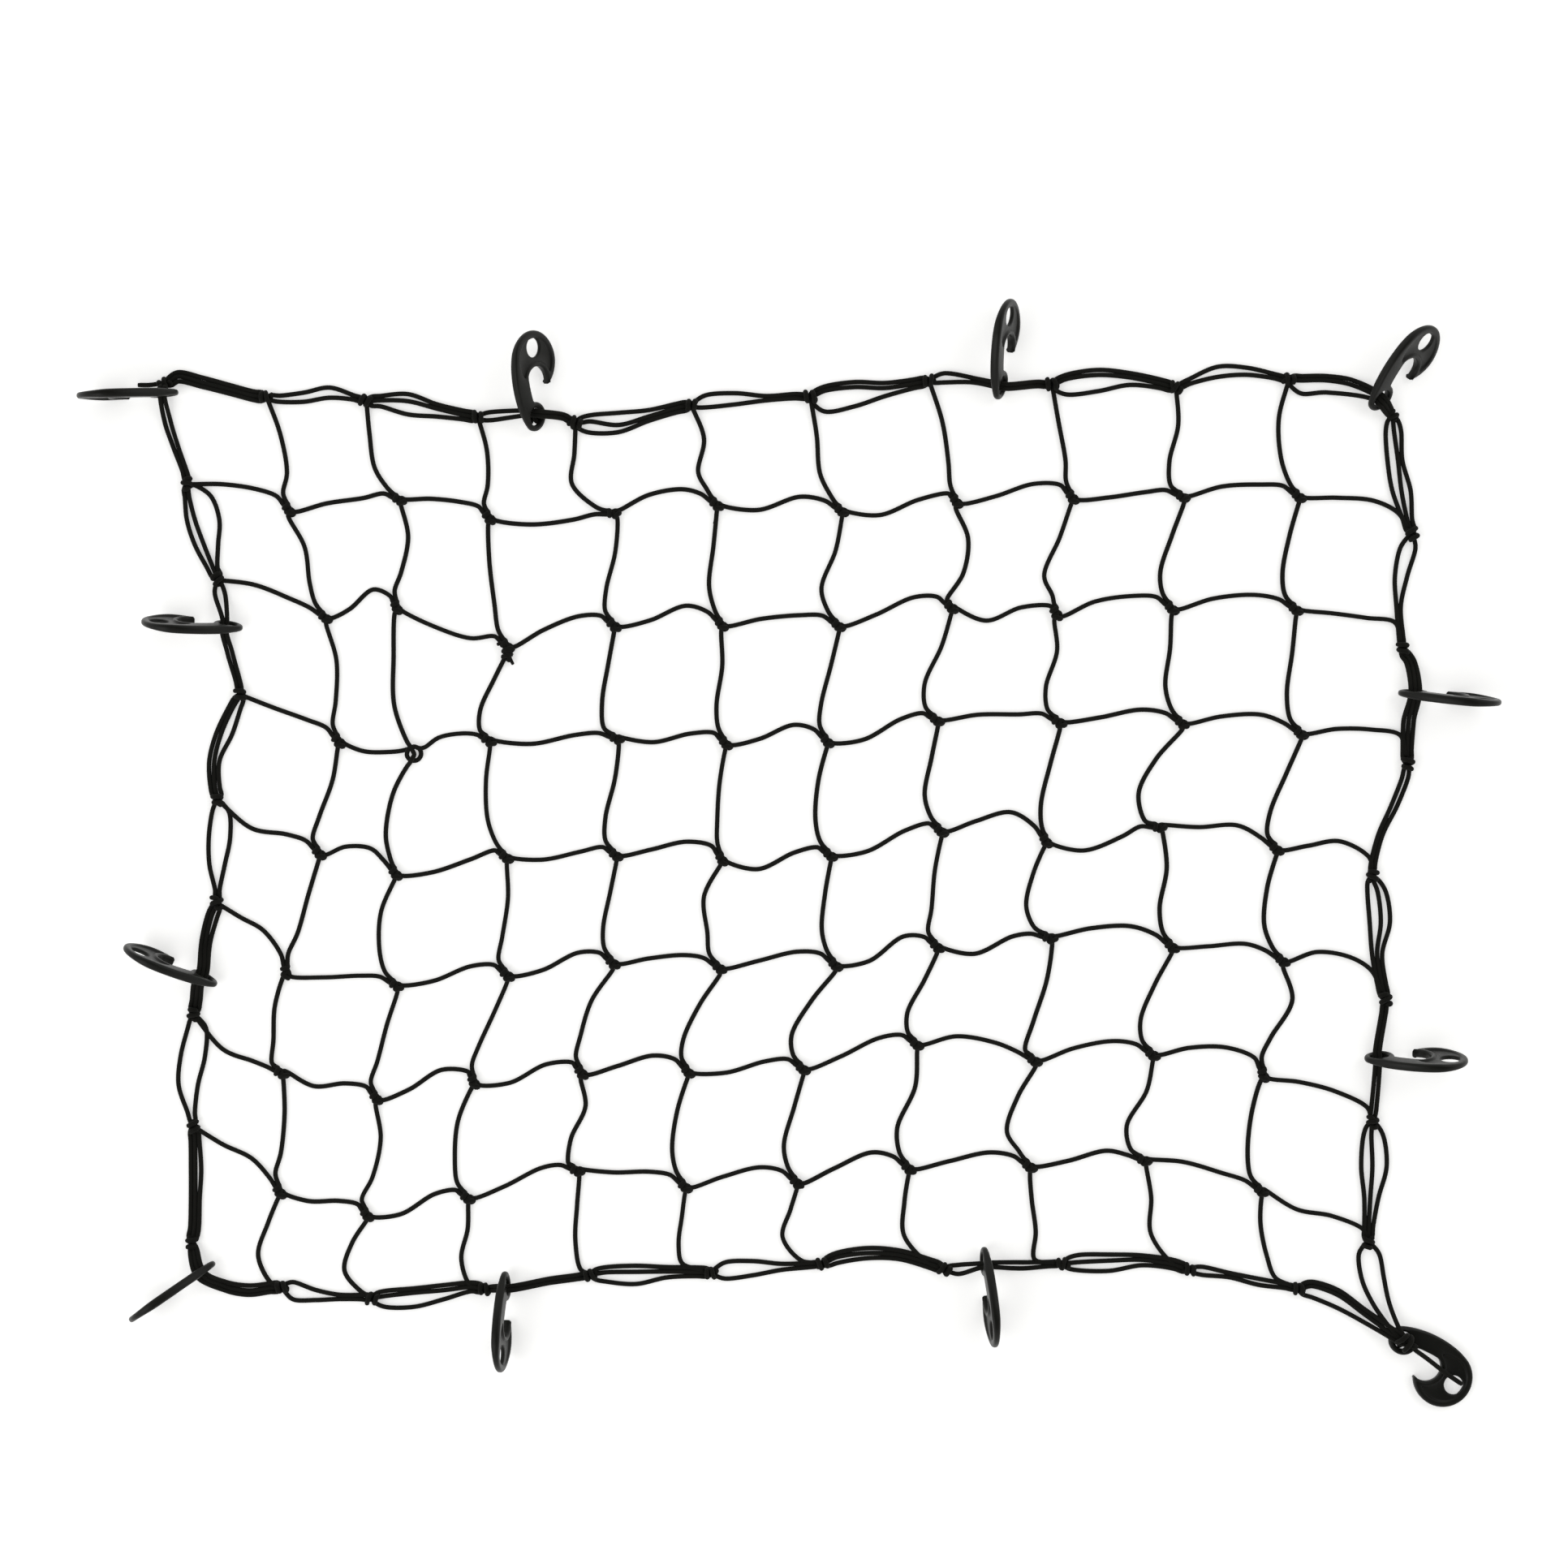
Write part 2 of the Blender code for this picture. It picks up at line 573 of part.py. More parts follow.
def net_mesh(fans, arriving):
    bm = bmesh.new()
    knots = {(row[0], row[1]): row for row in MESH}
    places = {key: Vector((row[2], row[3], FLAT)) for key, row in knots.items()}
    for i in range(1, COLUMNS + 1):
        for row, name in ((0, "T%d"), (ROWS + 1, "B%d")):
            places[row, i] = Vector(RIM_KNOTS[name % i][:2] + (FLAT,))
    for i in range(1, ROWS + 1):
        for column, name in ((0, "L%d"), (COLUMNS + 1, "R%d")):
            places[i, column] = Vector(RIM_KNOTS[name % i][:2] + (FLAT,))
    spans = []
    for row, column, _, _, _, left1, left2, above1, above2 in MESH:
        spans.append(((row, column - 1), (row, column), (left1, left2), False))
        spans.append(((row - 1, column), (row, column), (above1, above2), True))
    for row, bow1, bow2 in ROW_ENDS:
        spans.append(((row, COLUMNS), (row, COLUMNS + 1), (bow1, bow2), False))
    for column, bow1, bow2 in COLUMN_ENDS:
        spans.append(((ROWS, column), (ROWS + 1, column), (bow1, bow2), True))
    stations = {}
    leaving = {key: {} for key in knots}
    for first, last, bows, upright in spans:
        points = bowed(places[first], places[last], bows, upright)
        stations[first, last] = points
        if first in knots:
            leaving[first][upright] = bearing(points[0] - places[first])
    ports = {}
    for key, row in knots.items():
        lay = row[4]
        at = places[key].copy()
        at.z = KNOT_AXIS
        ways = [lay + 180 + NECK_FAN, lay + 180 - NECK_FAN]
        ways += [leaving[key][False], leaving[key][True]]
        for made, way, name in zip(
            knot(bm, at, KNOT_SIZE, KNOT_TOP, ways), ways, ("left", "above", "right", "below")
        ):
            ports[key, name] = (made, at + heading(way) * KNOT_SIZE)
    for first, last, bows, upright in spans:
        points = list(stations[first, last])
        if last in knots:
            lay = heading(knots[last][4])
            aside = Vector((-lay.y, lay.x, 0)) * (NECK_SIDE if upright else -NECK_SIDE)
            points.append(places[last] - lay * NECK + aside)
            end = ports[last, "above" if upright else "left"]
        else:
            name = ("B%d" % last[1]) if upright else ("R%d" % last[0])
            end = (None, rim_contact(name, fans, JOIN_END))
            points.append(join(name, arriving))
        if first in knots:
            start = ports[first, "below" if upright else "right"]
            cord(bm, start, points, end)
        else:
            name = ("T%d" % first[1]) if upright else ("L%d" % first[0])
            cord_from_rim(bm, rim_contact(name, fans, START_GAP), points, end)
    bmesh.ops.recalc_face_normals(bm, faces=bm.faces[:])
    return finish(bm, "net_mesh")


def cord_from_rim(bm, start, points, end):
    """A mesh cord whose first end lies against a rim knot."""
    cap = ring(bm, start, points[0] - start, capped=True)
    cord(bm, (cap, start), points, end)


for leftover in list(bpy.data.objects):
    bpy.data.objects.remove(leftover)
collection = bpy.data.collections.new("Cargo net")
bpy.context.scene.collection.children.link(collection)

frames = hook_frames()
fans = rim_fans()
sheath = material("black cord", (0.012, 0.012, 0.013, 1.0), 0.75)
plastic = material("black plastic", (0.02, 0.022, 0.021, 1.0), 0.45)
rim, arriving = rim_mesh(fans, frames)
pieces = [(net_mesh(fans, arriving), sheath), (rim, sheath)]
pieces += [(hook_mesh("hook_%02d" % int(name[1:]), frames[name]), plastic) for name in frames]
for piece, finish_of in pieces:
    piece.data.materials.append(finish_of)
    collection.objects.link(piece)
    if finish_of is sheath:
        for face in piece.data.polygons:
            face.use_smooth = True
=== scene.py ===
"""Elastic cargo net lying on a pale floor: braided cords tied at every crossing, a
doubled and tripled rim, and twelve moulded plastic hooks threaded on it.
The tables are millimetres in the net's own plan; X right, Y up the picture, Z up."""

import math
import random

import bmesh
import bpy
from mathutils import Matrix, Vector


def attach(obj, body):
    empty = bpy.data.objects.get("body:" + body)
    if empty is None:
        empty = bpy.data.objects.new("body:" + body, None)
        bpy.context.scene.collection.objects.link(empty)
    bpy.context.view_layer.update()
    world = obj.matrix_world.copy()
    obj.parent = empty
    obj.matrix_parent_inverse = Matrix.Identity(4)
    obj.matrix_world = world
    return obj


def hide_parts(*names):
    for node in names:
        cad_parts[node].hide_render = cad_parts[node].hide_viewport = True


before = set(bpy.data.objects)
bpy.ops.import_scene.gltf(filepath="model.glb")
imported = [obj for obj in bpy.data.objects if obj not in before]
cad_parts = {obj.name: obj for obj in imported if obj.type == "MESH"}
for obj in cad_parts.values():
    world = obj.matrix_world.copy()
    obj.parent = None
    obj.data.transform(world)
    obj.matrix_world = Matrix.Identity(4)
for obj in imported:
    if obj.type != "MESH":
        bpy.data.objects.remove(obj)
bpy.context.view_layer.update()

MM = 0.001
MIDDLE = Vector((-6.05, -4.95, 0.0))    # middle of the outline in the tables' plan
CORD = 2.0                  # height of the middle of a cord lying on the floor
SHEATH = 2.34               # radius of its soft braided sheath
SIDES = 10                  # sides of a modelled cord
STEP = 2.6                  # length of one section of a cord
KNOT_STEP = 1.15            # the same inside a knot
CUT_STEP = 1.4              # and in a cut end
LEAST_GAP = 0.6             # a route's points are at least this far apart
CUT_END = 0.86              # a cord's ends are this share of its thickness
BRAID_START = 400.0         # each cord's braid starts anywhere in this length

# Mesh knots
NECK = 19.0                 # two mesh cords meet this far before their knot
NECK_SIDE = 3.7             # and this far off its axis
NECK_SHARE = 0.55           # or at this share of the way to the last point, if that is
NECK_LEAST = 11.0           # nearer, but a shorter neck is left out
KNOT_MIDDLE = 4.2           # height of the middle of a knot
KNOT_FLAT = 0.80            # a knot's height over its width
KNOT_MOUTH = -8.0           # before this place along a knot its cords still lie low,
MOUTH_SINK = 0.6            # lowered by this share
KNOT_SIZES = (0.95, 1.08)
KNOT_TURNS = (-25, 25)      # degrees that a knot's wraps are turned by,
TURNED_FROM = -3.5          # from this place along it
LEAVES_ROW = (3.4, 4.0)     # where a row's cord leaves its knot: along it, then to its left
LEAVES_COLUMN = (3.6, -3.2)
LEAVES_HEIGHT = 3.4

# Rim
PITCH = 4.3                 # distance between two rim cords side by side
SPACING_ROUNDS = 30
SEAT = 5.0                  # half of the straight length of a cord in a hook's eye
SEAT_REACH = 22.0           # a run's bows this near to its hook's eye are passed over
SEAT_SLOPE = 0.5            # how far a cord follows the slope of the eye's axis
RIM_INNER = (1.8, 1.6)      # rim cords in their knot: apart, and raised by
RIM_OUTER = (6.5, 2.4)      # and where they leave it: from its middle, and apart
WRAP_SIZE = 1.06
JOIN_LIFT = 1.5             # a mesh cord starts this much raised in its rim knot
JOIN_SHARE = 0.25           # it ends in another, at this share of the way from its middle
JOIN_HEIGHT = 3.0           # to where the cord meets the rim, and at this height

# A hook in its own plane: radii and places, from the middle of its eye
HOOK_EYE = 14.4
HOOK_EYE_HOLE = 8.5
HOOK_HEAD = 29.3
HOOK_HEAD_AT = (53.5, 0.0)
HOOK_MOUTH = 14.7
HOOK_MOUTH_AT = (33.7, -3.3)
HOOK_HOLE = 9.3
HOOK_HOLE_AT = (66.3, 1.6)
HOOK_BACK = 98.4
HOOK_BACK_AT = (49.6, -68.5)
HOOK_TIP = (28.4, -16.6)
HOOK_THICK = 8.4            # over the part of its length in HOOK_FULL,
HOOK_THIN = 5.8             # thinning to this at HOOK_ENDS
HOOK_FULL = (8.0, 52.0)
HOOK_ENDS = (-14.4, 82.8)
HOOK_NECK = ((30.5, 9.2), (24.0, 6.9), (18.5, 5.3))
HOOK_ROUND = 0.9            # its edges are rounded over this share of half its thickness
EDGE_RINGS = 6              # rings from its middle plane to its flat, and down the web's edge
LAST_TURN = 353.0           # where the points round a hole end, from 0
ARC_STEP = 1.5              # distance between the points of a hook's outline
HOOK_WEB = 2.1              # half thickness of the thin web round its head's hole
WEB_EDGE = 23.6             # the web ends this far from the head's middle,
WEB_BY_MOUTH = 18.9         # and this far from the mouth's
WEB_SLOPE = (-0.8, 2.4)     # its edge starts this far in and is this wide
HOOK_PITCH = math.asin((HOOK_HEAD - HOOK_EYE) / HOOK_HEAD_AT[0])

# The studio. Between the surround's two heights, of 0 level and 1 overhead, its strength
# goes from the third value to the fourth.
SURROUND = (0.5, 0.95, 0.88, 0.10)
LAMPS = (
    # name, place and side in metres, watts
    ("softbox left", (-1.7, -0.9, 2.3), 1.8, 18),
    ("softbox right", (1.9, 1.2, 2.6), 1.8, 11),
)
LIGHT_COLOUR = (1.0, 0.998, 0.99, 1.0)
FLOOR_GLOW = 0.45
FLOOR_REACH = 30.0          # metres from its middle to each side
FLOOR_DROP = 0.0002         # metres that it is under the net, so that they never meet
PHOTO = 1932                # side of the photograph in pixels
PIXEL = 0.8                 # millimetres of the floor that a pixel takes in
PHOTO_ORIGIN = (977, 1050)  # the tables' origin in the photograph
EYE_HEIGHT = 2.32           # metres from the camera to the floor
EYE_SHIFT = (0.05, 0.035)   # the photograph was taken from left of its middle

COLUMNS = 10
ROWS = 7
# Mesh knots: row, column, place, the way the knot points, then how far its cord from
# the left bows up, and its cord from above bows right, at one and two thirds.
MESH = (
    # row, col,    x,    y,  lay, left1, left2, above1, above2
    (1, 1, -496, 336, -60, 9, 13, 6, 5),
    (1, 2, -387, 346, -35, 4, 6, -8, -14),
    (1, 3, -299, 328, -60, 8, 11, 5, 2),
    (1, 4, -176, 333, -10, -7, -4, -14, -29),
    (1, 5, -75, 341, -48, 16, 19, 4, -10),
    (1, 6, 48, 335, -45, -2, 13, -4, -11),
    (1, 7, 161, 344, -60, -6, 6, 4, 1),
    (1, 8, 275, 348, -60, 5, 16, 0, 0),
    (1, 9, 384, 349, -35, 1, 6, 0, -11),
    (1, 10, 498, 349, -48, 11, 13, -13, -14),
    (2, 1, -460, 230, -45, 8, 7, 3, -4),
    (2, 2, -390, 240, -72, 6, 22, 9, 3),
    (2, 3, -281, 202, -50, -5, -4, -6, -7),
    (2, 4, -176, 222, -50, 10, 17, 1, -8),
    (2, 5, -70, 223, -55, 6, 20, -5, -11),
    (2, 6, 45, 222, -45, 7, 11, -5, -18),
    (2, 7, 156, 240, -50, 6, 17, 13, 10),
    (2, 8, 259, 234, -68, -10, 5, -7, -17),
    (2, 9, 373, 239, -50, 11, 15, -7, -15),
    (2, 10, 495, 238, -45, 11, 15, -8, -14),
    (3, 1, -447, 108, -60, 3, 7, 6, 1),
    (3, 2, -373, 97, -50, -5, -2, -9, -14),
    (3, 3, -299, 109, -40, 12, 12, -7, -15),
    (3, 4, -173, 111, -30, -3, 5, -7, -14),
    (3, 5, -66, 106, -55, -1, 9, -1, -8),
    (3, 6, 34, 108, -55, 5, 18, -4, -10),
    (3, 7, 142, 129, -40, -4, 9, -5, -17),
    (3, 8, 262, 127, -40, 7, 8, 0, -12),
    (3, 9, 383, 126, -45, 6, 14, -5, -13),
    (3, 10, 500, 116, -45, 11, 16, -5, -12),
    (4, 1, -466, -2, -55, -10, 2, 0, -7),
    (4, 2, -391, -22, -60, 14, 19, -15, -16),
    (4, 3, -282, -6, -45, -3, 4, -9, -13),
    (4, 4, -174, -4, -45, -2, 5, -2, -11),
    (4, 5, -70, -8, -65, 8, 17, -5, -6),
    (4, 6, 37, -4, -45, -10, 5, -10, -14),
    (4, 7, 146, 20, -45, -3, 9, -7, -15),
    (4, 8, 249, 10, -65, 14, 26, -4, -9),
    (4, 9, 361, 24, -15, -13, -4, -18, -28),
    (4, 10, 476, 2, -50, 8, 17, -6, -14),
    (5, 1, -499, -119, -85, 9, 19, 0, 0),
    (5, 2, -390, -132, -40, 0, 6, -15, -17),
    (5, 3, -281, -122, -50, 2, 13, 1, -5),
    (5, 4, -177, -110, -50, 2, 15, -5, -11),
    (5, 5, -72, -115, -45, 7, 12, -17, -13),
    (5, 6, 42, -112, -50, 7, 15, -7, -12),
    (5, 7, 142, -94, -50, -1, 17, -5, -7),
    (5, 8, 253, -85, -25, -9, 5, -14, -22),
    (5, 9, 373, -94, -50, 13, 18, 3, -8),
    (5, 10, 482, -108, -45, 6, 13, -11, -16),
    (6, 1, -503, -218, -35, -15, -7, -10, -10),
    (6, 2, -410, -243, -60, -4, 7, -3, -6),
    (6, 3, -314, -227, -72, 4, 18, -2, -7),
    (6, 4, -208, -218, -60, -3, 12, -11, -12),
    (6, 5, -103, -217, -55, 7, 17, -9, -15),
    (6, 6, 10, -214, -45, -1, 9, -13, -22),
    (6, 7, 122, -190, -45, 5, 15, -6, -16),
    (6, 8, 238, -206, -40, 14, 13, 2, -6),
    (6, 9, 354, -200, -45, 11, 16, -10, -18),
    (6, 10, 463, -220, -75, 14, 21, 16, 1),
    (7, 1, -505, -335, -65, 4, 12, 3, 0),
    (7, 2, -419, -358, -60, -1, 7, 7, 2),
    (7, 3, -320, -341, -45, -4, 10, -14, -15),
    (7, 4, -212, -314, -30, 3, 12, 5, -8),
    (7, 5, -106, -330, -50, 4, 10, -10, -14),
    (7, 6, 4, -326, -50, 9, 17, -7, -15),
    (7, 7, 114, -312, -50, 10, 21, 1, -14),
    (7, 8, 233, -310, -45, 7, 15, -15, -24),
    (7, 9, 346, -304, -30, 4, 12, -3, -20),
    (7, 10, 461, -334, -45, 9, 8, -11, -14),
)
# The last cord of each row and column: its bows, then where it meets the rim.
ROW_ENDS = (
    # row, bow1, bow2, x, y
    (1, 12, 21, 596, 334),
    (2, 10, 18, 593, 226),
    (3, 15, 24, 598, 115),
    (4, 13, 26, 568, -6),
    (5, 22, 29, 570, -117),
    (6, 9, 15, 566, -252),
    (7, -1, 9, 562, -372),
)
COLUMN_ENDS = (
    # column, bow1, bow2, x, y
    (1, -13, -23, -514, -424),
    (2, -17, -26, -426, -432),
    (3, -6, -18, -318, -426),
    (4, -5, -11, -209, -411),
    (5, -12, -24, -109, -405),
    (6, -15, -31, 8, -402),
    (7, -16, -28, 134, -405),
    (8, -9, -16, 238, -401),
    (9, -8, -23, 374, -405),
    (10, -13, -19, 475, -419),
)
RIM_KNOTS = {
    # name: x, y, height of its underside, size
    "T0": (-618, 461, 0, 1.0),
    "T1": (-518, 448, 0, 1.0),
    "T2": (-420, 444, 0, 1.0),
    "T3": (-310, 428, 0, 1.0),
    "T4": (-214, 422, 0, 1.1),
    "T5": (-100, 440, 0, 1.0),
    "T6": (17, 448, 0, 1.1),
    "T7": (134, 464, 0, 1.0),
    "T8": (255, 460, 0, 1.1),
    "T9": (377, 457, 0, 1.0),
    "T10": (488, 465, 0, 1.0),
    "R0": (590.5, 429, 0, 0.85),
    "R1": (609, 313, 0, 1.1),
    "R2": (600, 200, 0, 1.0),
    "R3": (605, 87, 0, 1.1),
    "R4": (570, -24, 0, 1.0),
    "R5": (583, -145, 0, 1.1),
    "R6": (570, -266, 0, 1.0),
    "R7": (566, -384, 0, 1.0),
    "B1": (-503, -428, 0, 1.0),
    "B2": (-414, -439, 0, 1.1),
    "B3": (-303, -430, 0, 1.0),
    "B4": (-199, -416, 0, 1.0),
    "B5": (-80, -414, 0, 1.0),
    "B6": (29, -405, 0, 1.0),
    "B7": (149, -410, 0, 1.1),
    "B8": (266, -405, 0, 1.0),
    "B9": (390, -411, 0, 1.0),
    "B10": (498, -430, 0, 1.0),
    "B11": (601, -481, 8.6, 1.6),
    "L1": (-596, 362, 0, 1.0),
    "L2": (-566, 268, 0, 1.0),
    "L3": (-544, 155, 0, 1.0),
    "L4": (-566, 51, 0, 1.0),
    "L5": (-567, -50, 0, 1.1),
    "L6": (-590, -160, 0, 1.0),
    "L7": (-590, -270, 0, 1.0),
    "L8": (-592, -384, 0, 1.0),
}
# Each run of rim cords: its two knots, the hook threaded on it, then for each cord
# how far it bows up (or right, on the two short sides) at each of RUN_SHARES.
RUN_SHARES = (0.12, 0.37, 0.63, 0.88)
RUNS = (
    ("T0", "T1", None, (13, 11, 7, 2), (9, 6, 3, 0), (4, 2, -1, -3)),
    ("T1", "T2", None, (2, 6, 12, 5), (-4, -3, 2, 1)),
    ("T2", "T3", None, (6, 13, 6, 2), (4, 6, 4, 1), (-3, -7, -5, -2)),
    ("T3", "T4", "H2", (6, 8, 13, 8), (-2, 3, 9, 4)),
    ("T4", "T5", None, (6, 4, 2, 1), (0, -8, -6, -1), (-11, -15, -7, -1)),
    ("T5", "T6", None, (9, 9, 3, 1), (-3, -2, 1, 3)),
    ("T6", "T7", None, (8, 9, 4, 1), (5, 4, -1, 0), (-16, -15, -9, -3)),
    ("T7", "T8", "H3", (8, 2, 1, 0), (-1, 2, 2, 1)),
    ("T8", "T9", None, (9, 16, 12, 5), (8, 11, 11, 4), (-9, -5, 2, 2)),
    ("T9", "T10", None, (8, 18, 15, 6), (3, 8, 8, 3)),
    ("T10", "R0", "H4", (7, 17, 22, 11), (5, 13, 17, 9), (-9, 1, 10, 6)),
    ("R0", "R1", None, (-9, -12, -12, -5), (-1, -1, -3, -3), (6, 2, 6, 3)),
    ("R1", "R2", None, (-10, -13, -9, -3), (5, -1, -5, -2)),
    ("R2", "R3", "H5", (4, 4, -2, -2), (8, 10, 3, 0), (11, 14, 8, 3)),
    ("R3", "R4", None, (-1, -3, -4, -2), (5, 3, -5, -4)),
    ("R4", "R5", None, (-6, -7, -8, -3), (4, 4, -3, -2), (12, 13, 2, 0)),
    ("R5", "R6", "H6", (-2, -4, -3, -2), (2, 1, 2, 3)),
    ("R6", "R7", None, (-8, -9, -5, -1), (0, 2, 1, 0), (12, 16, 9, 2)),
    ("R7", "B11", None, (-13, -19, -17, -9), (7, 3, -1, -1)),
    ("T0", "L1", "H1", (-8, -9, -6, -2), (-4, -3, -1, 2)),
    ("L1", "L2", None, (-6, -12, -12, -7), (-3, -4, -3, -1), (19, 20, 11, 3)),
    ("L2", "L3", "H12", (-6, -3, -5, -2), (4, 0, 0, 2)),
    ("L3", "L4", None, (-9, -16, -17, -10), (-5, -11, -12, -6), (3, 0, -7, -1)),
    ("L4", "L5", None, (-6, -9, -8, -2), (11, 12, 7, 2)),
    ("L5", "L6", "H11", (-7, -7, -9, -3), (-3, -3, -4, 0), (3, 1, 2, 1)),
    ("L6", "L7", None, (-6, -13, -15, -6), (12, 11, 4, 1)),
    ("L7", "L8", None, (-2, -2, -1, 0), (1, 2, 2, 2), (5, 8, 7, 5)),
    ("L8", "B1", "H10", (-29, -30, -24, -8), (-22, -27, -20, -6), (-17, -24, -15, -4)),
    ("B1", "B2", None, (6, 1, -1, 0), (-11, -9, -5, -1)),
    ("B2", "B3", None, (6, 6, 7, 7), (1, 2, 2, 3), (-10, -12, -7, -1)),
    ("B3", "B4", "H9", (4, 1, 1, 0), (-6, -3, -2, -1)),
    ("B4", "B5", None, (7, 8, 6, 3), (2, 2, 2, 1), (-7, -10, -4, -1)),
    ("B5", "B6", None, (9, 8, 3, 0), (-7, -6, -3, -1)),
    ("B6", "B7", None, (11, 17, 16, 6), (7, 12, 11, 4), (1, 7, 8, 3)),
    ("B7", "B8", "H8", (3, 3, 3, 1), (-6, -3, -3, -1)),
    ("B8", "B9", None, (9, 11, 11, 6), (2, 5, 8, 5), (-6, -5, 2, 2)),
    ("B9", "B10", None, (5, 3, -3, -1), (-3, 0, 3, 2)),
    ("B10", "B11", None, (13, 18, 12, 7), (9, 13, 7, 1), (-2, 0, -1, -3)),
)
# Hooks: its eye's middle, the way it points, the side its tip shows on (1 left of that
# way), its lean, then how far below the eye's middle and towards the head its cords run.
# None lies flat.
HOOKS = (
    # name,      x,   y, points, tip, lean, cords, ahead
    ("H1", -617, 450, 185, -1, 8, 4.0, 1.0),
    ("H2", -254, 427, 90, -1, 36, 2.3, 3.0),
    ("H3", 202, 458, 84, -1, 24, 3.6, -1.0),
    ("H4", 575, 446, 52, -1, 36, 0.4, -2.0),
    ("H5", 607, 155, -7, 1, 10, 2.0, 1.5),
    ("H6", 574, -202, 0, 1, 12, 4.3, -2.0),
    ("H7", 600, -480, -43, -1, None, 0.0, 0.0),
    ("H8", 188, -401, -85, -1, 3, 4.6, 3.0),
    ("H9", -283, -425, -92, 1, 8, 4.4, 1.5),
    ("H10", -579, -410, 214, 1, 2, 2.0, 2.5),
    ("H11", -578, -124, 156, -1, 5, 2.0, 3.0),
    ("H12", -554, 221, 178, -1, 15, 4.2, 3.0),
)
# Height of the cords' middles on their way up to the knot over the flat hook.
B11_RISE = (2.0, 2.0, 4.0, 9.5)
# The two free ends: over the flat hook, and beside the top left hook.
LOW_TAIL = ((608, -487, 15.0), (622, -497, 12.0), (640, -511, 10.7), (656, -522, 10.6))
HIGH_TAIL = ((-618, 461, 3.0), (-625, 461, 2.4), (-634, 460, 2.0), (-645, 460, 2.0))
# The one open knot: its row's cord and its column's, as offsets from its middle.
OPEN_KNOT = (3, 2)
OPEN_ROW = (
    (-12.0, 3.0, 2.2),
    (-6.0, 4.6, 2.6),
    (0.0, 6.8, 2.8),
    (5.4, 4.4, 3.0),
    (6.8, -1.2, 3.2),
    (3.4, -6.2, 3.6),
    (-2.6, -6.6, 4.4),
    (-6.6, -2.4, 5.4),
    (-5.2, 4.0, 6.4),
    (0.4, 6.8, 6.8),
    (5.6, 5.2, 5.2),
    (10.5, 6.4, 2.6),
)
OPEN_COLUMN = (
    (-7.6, 13.0, 2.4),
    (-4.2, 8.0, 6.4),
    (-1.2, 3.0, 6.8),
    (0.4, -1.0, 6.0),
    (-1.2, -4.6, 6.8),
    (-3.4, -8.4, 6.0),
    (-7.6, -13.4, 2.4),
)
# More turns of cord: place, the way they lie, size. The first joins a mended knot's cut
# cords, and the others fill the eyes of the second and the seventh hook.
EXTRA_WRAPS = (
    # x, y, lay, size
    (-281.5, 193.5, -95, 0.95),
    (-254.5, 427.5, 5, 1.0),
    (603.0, -485.0, -43, 1.12),
)
# Cut ends and a nub on a cord: their points, then their radius.
CUT_ENDS = (
    (((-281, 203, 5.5), (-286, 205.5, 6.0), (-291, 204.5, 4.2)), 1.9),
    (((-280, 196, 5.5), (-277.5, 189.0, 5.5), (-275.6, 185.0, 3.4)), 1.7),
    (((-282, 199, 7.0), (-279.5, 192.0, 7.6), (-279.0, 187.0, 6.0)), 1.7),
    (((-74, 324, 2.2), (-76.2, 324.2, 2.6), (-78.6, 324.8, 2.8)), 1.3),
)
# What a mesh knot's two cords do in it: along the knot, off its axis, turned round it
# from the knot's left (degrees). The first comes in on the right, wraps the front and
# leaves to the left; the second comes in on the left and wraps the back.
FRONT_CORD = (
    (-9.0, 2.0, 180),
    (-4.0, 1.3, 180),
    (1.5, 1.0, 205),
    (4.9, 1.6, 290),
    (5.2, 2.6, 375),
    (3.2, 3.2, 440),
    (1.2, 3.3, 510),
    (-0.6, 3.3, 580),
    (-1.3, 3.2, 650),
    (0.0, 3.3, 712),
)
BACK_CORD = (
    (-9.0, 2.0, 0),
    (-5.4, 2.7, 25),
    (-4.7, 3.2, 90),
    (-4.4, 3.3, 165),
    (-4.2, 3.1, 240),
    (-3.6, 2.6, 315),
    (-1.2, 1.5, 370),
    (1.6, 1.6, 470),
)
# The wrap of a rim knot round its bundle, in the same terms.
RIM_WRAP = (
    (-3.0, 1.5, 0),
    (-4.4, 3.4, 40),
    (-4.6, 4.2, 110),
    (-4.0, 4.3, 190),
    (-3.0, 4.2, 270),
    (-1.6, 4.2, 350),
    (-0.2, 4.3, 430),
    (1.4, 4.3, 510),
    (2.8, 4.2, 590),
    (3.8, 4.0, 665),
    (4.6, 2.6, 730),
    (3.0, 1.0, 780),
)


def heading(degrees):
    angle = math.radians(degrees)
    return Vector((math.cos(angle), math.sin(angle), 0.0))


def bearing(vector):
    return math.degrees(math.atan2(vector.y, vector.x))


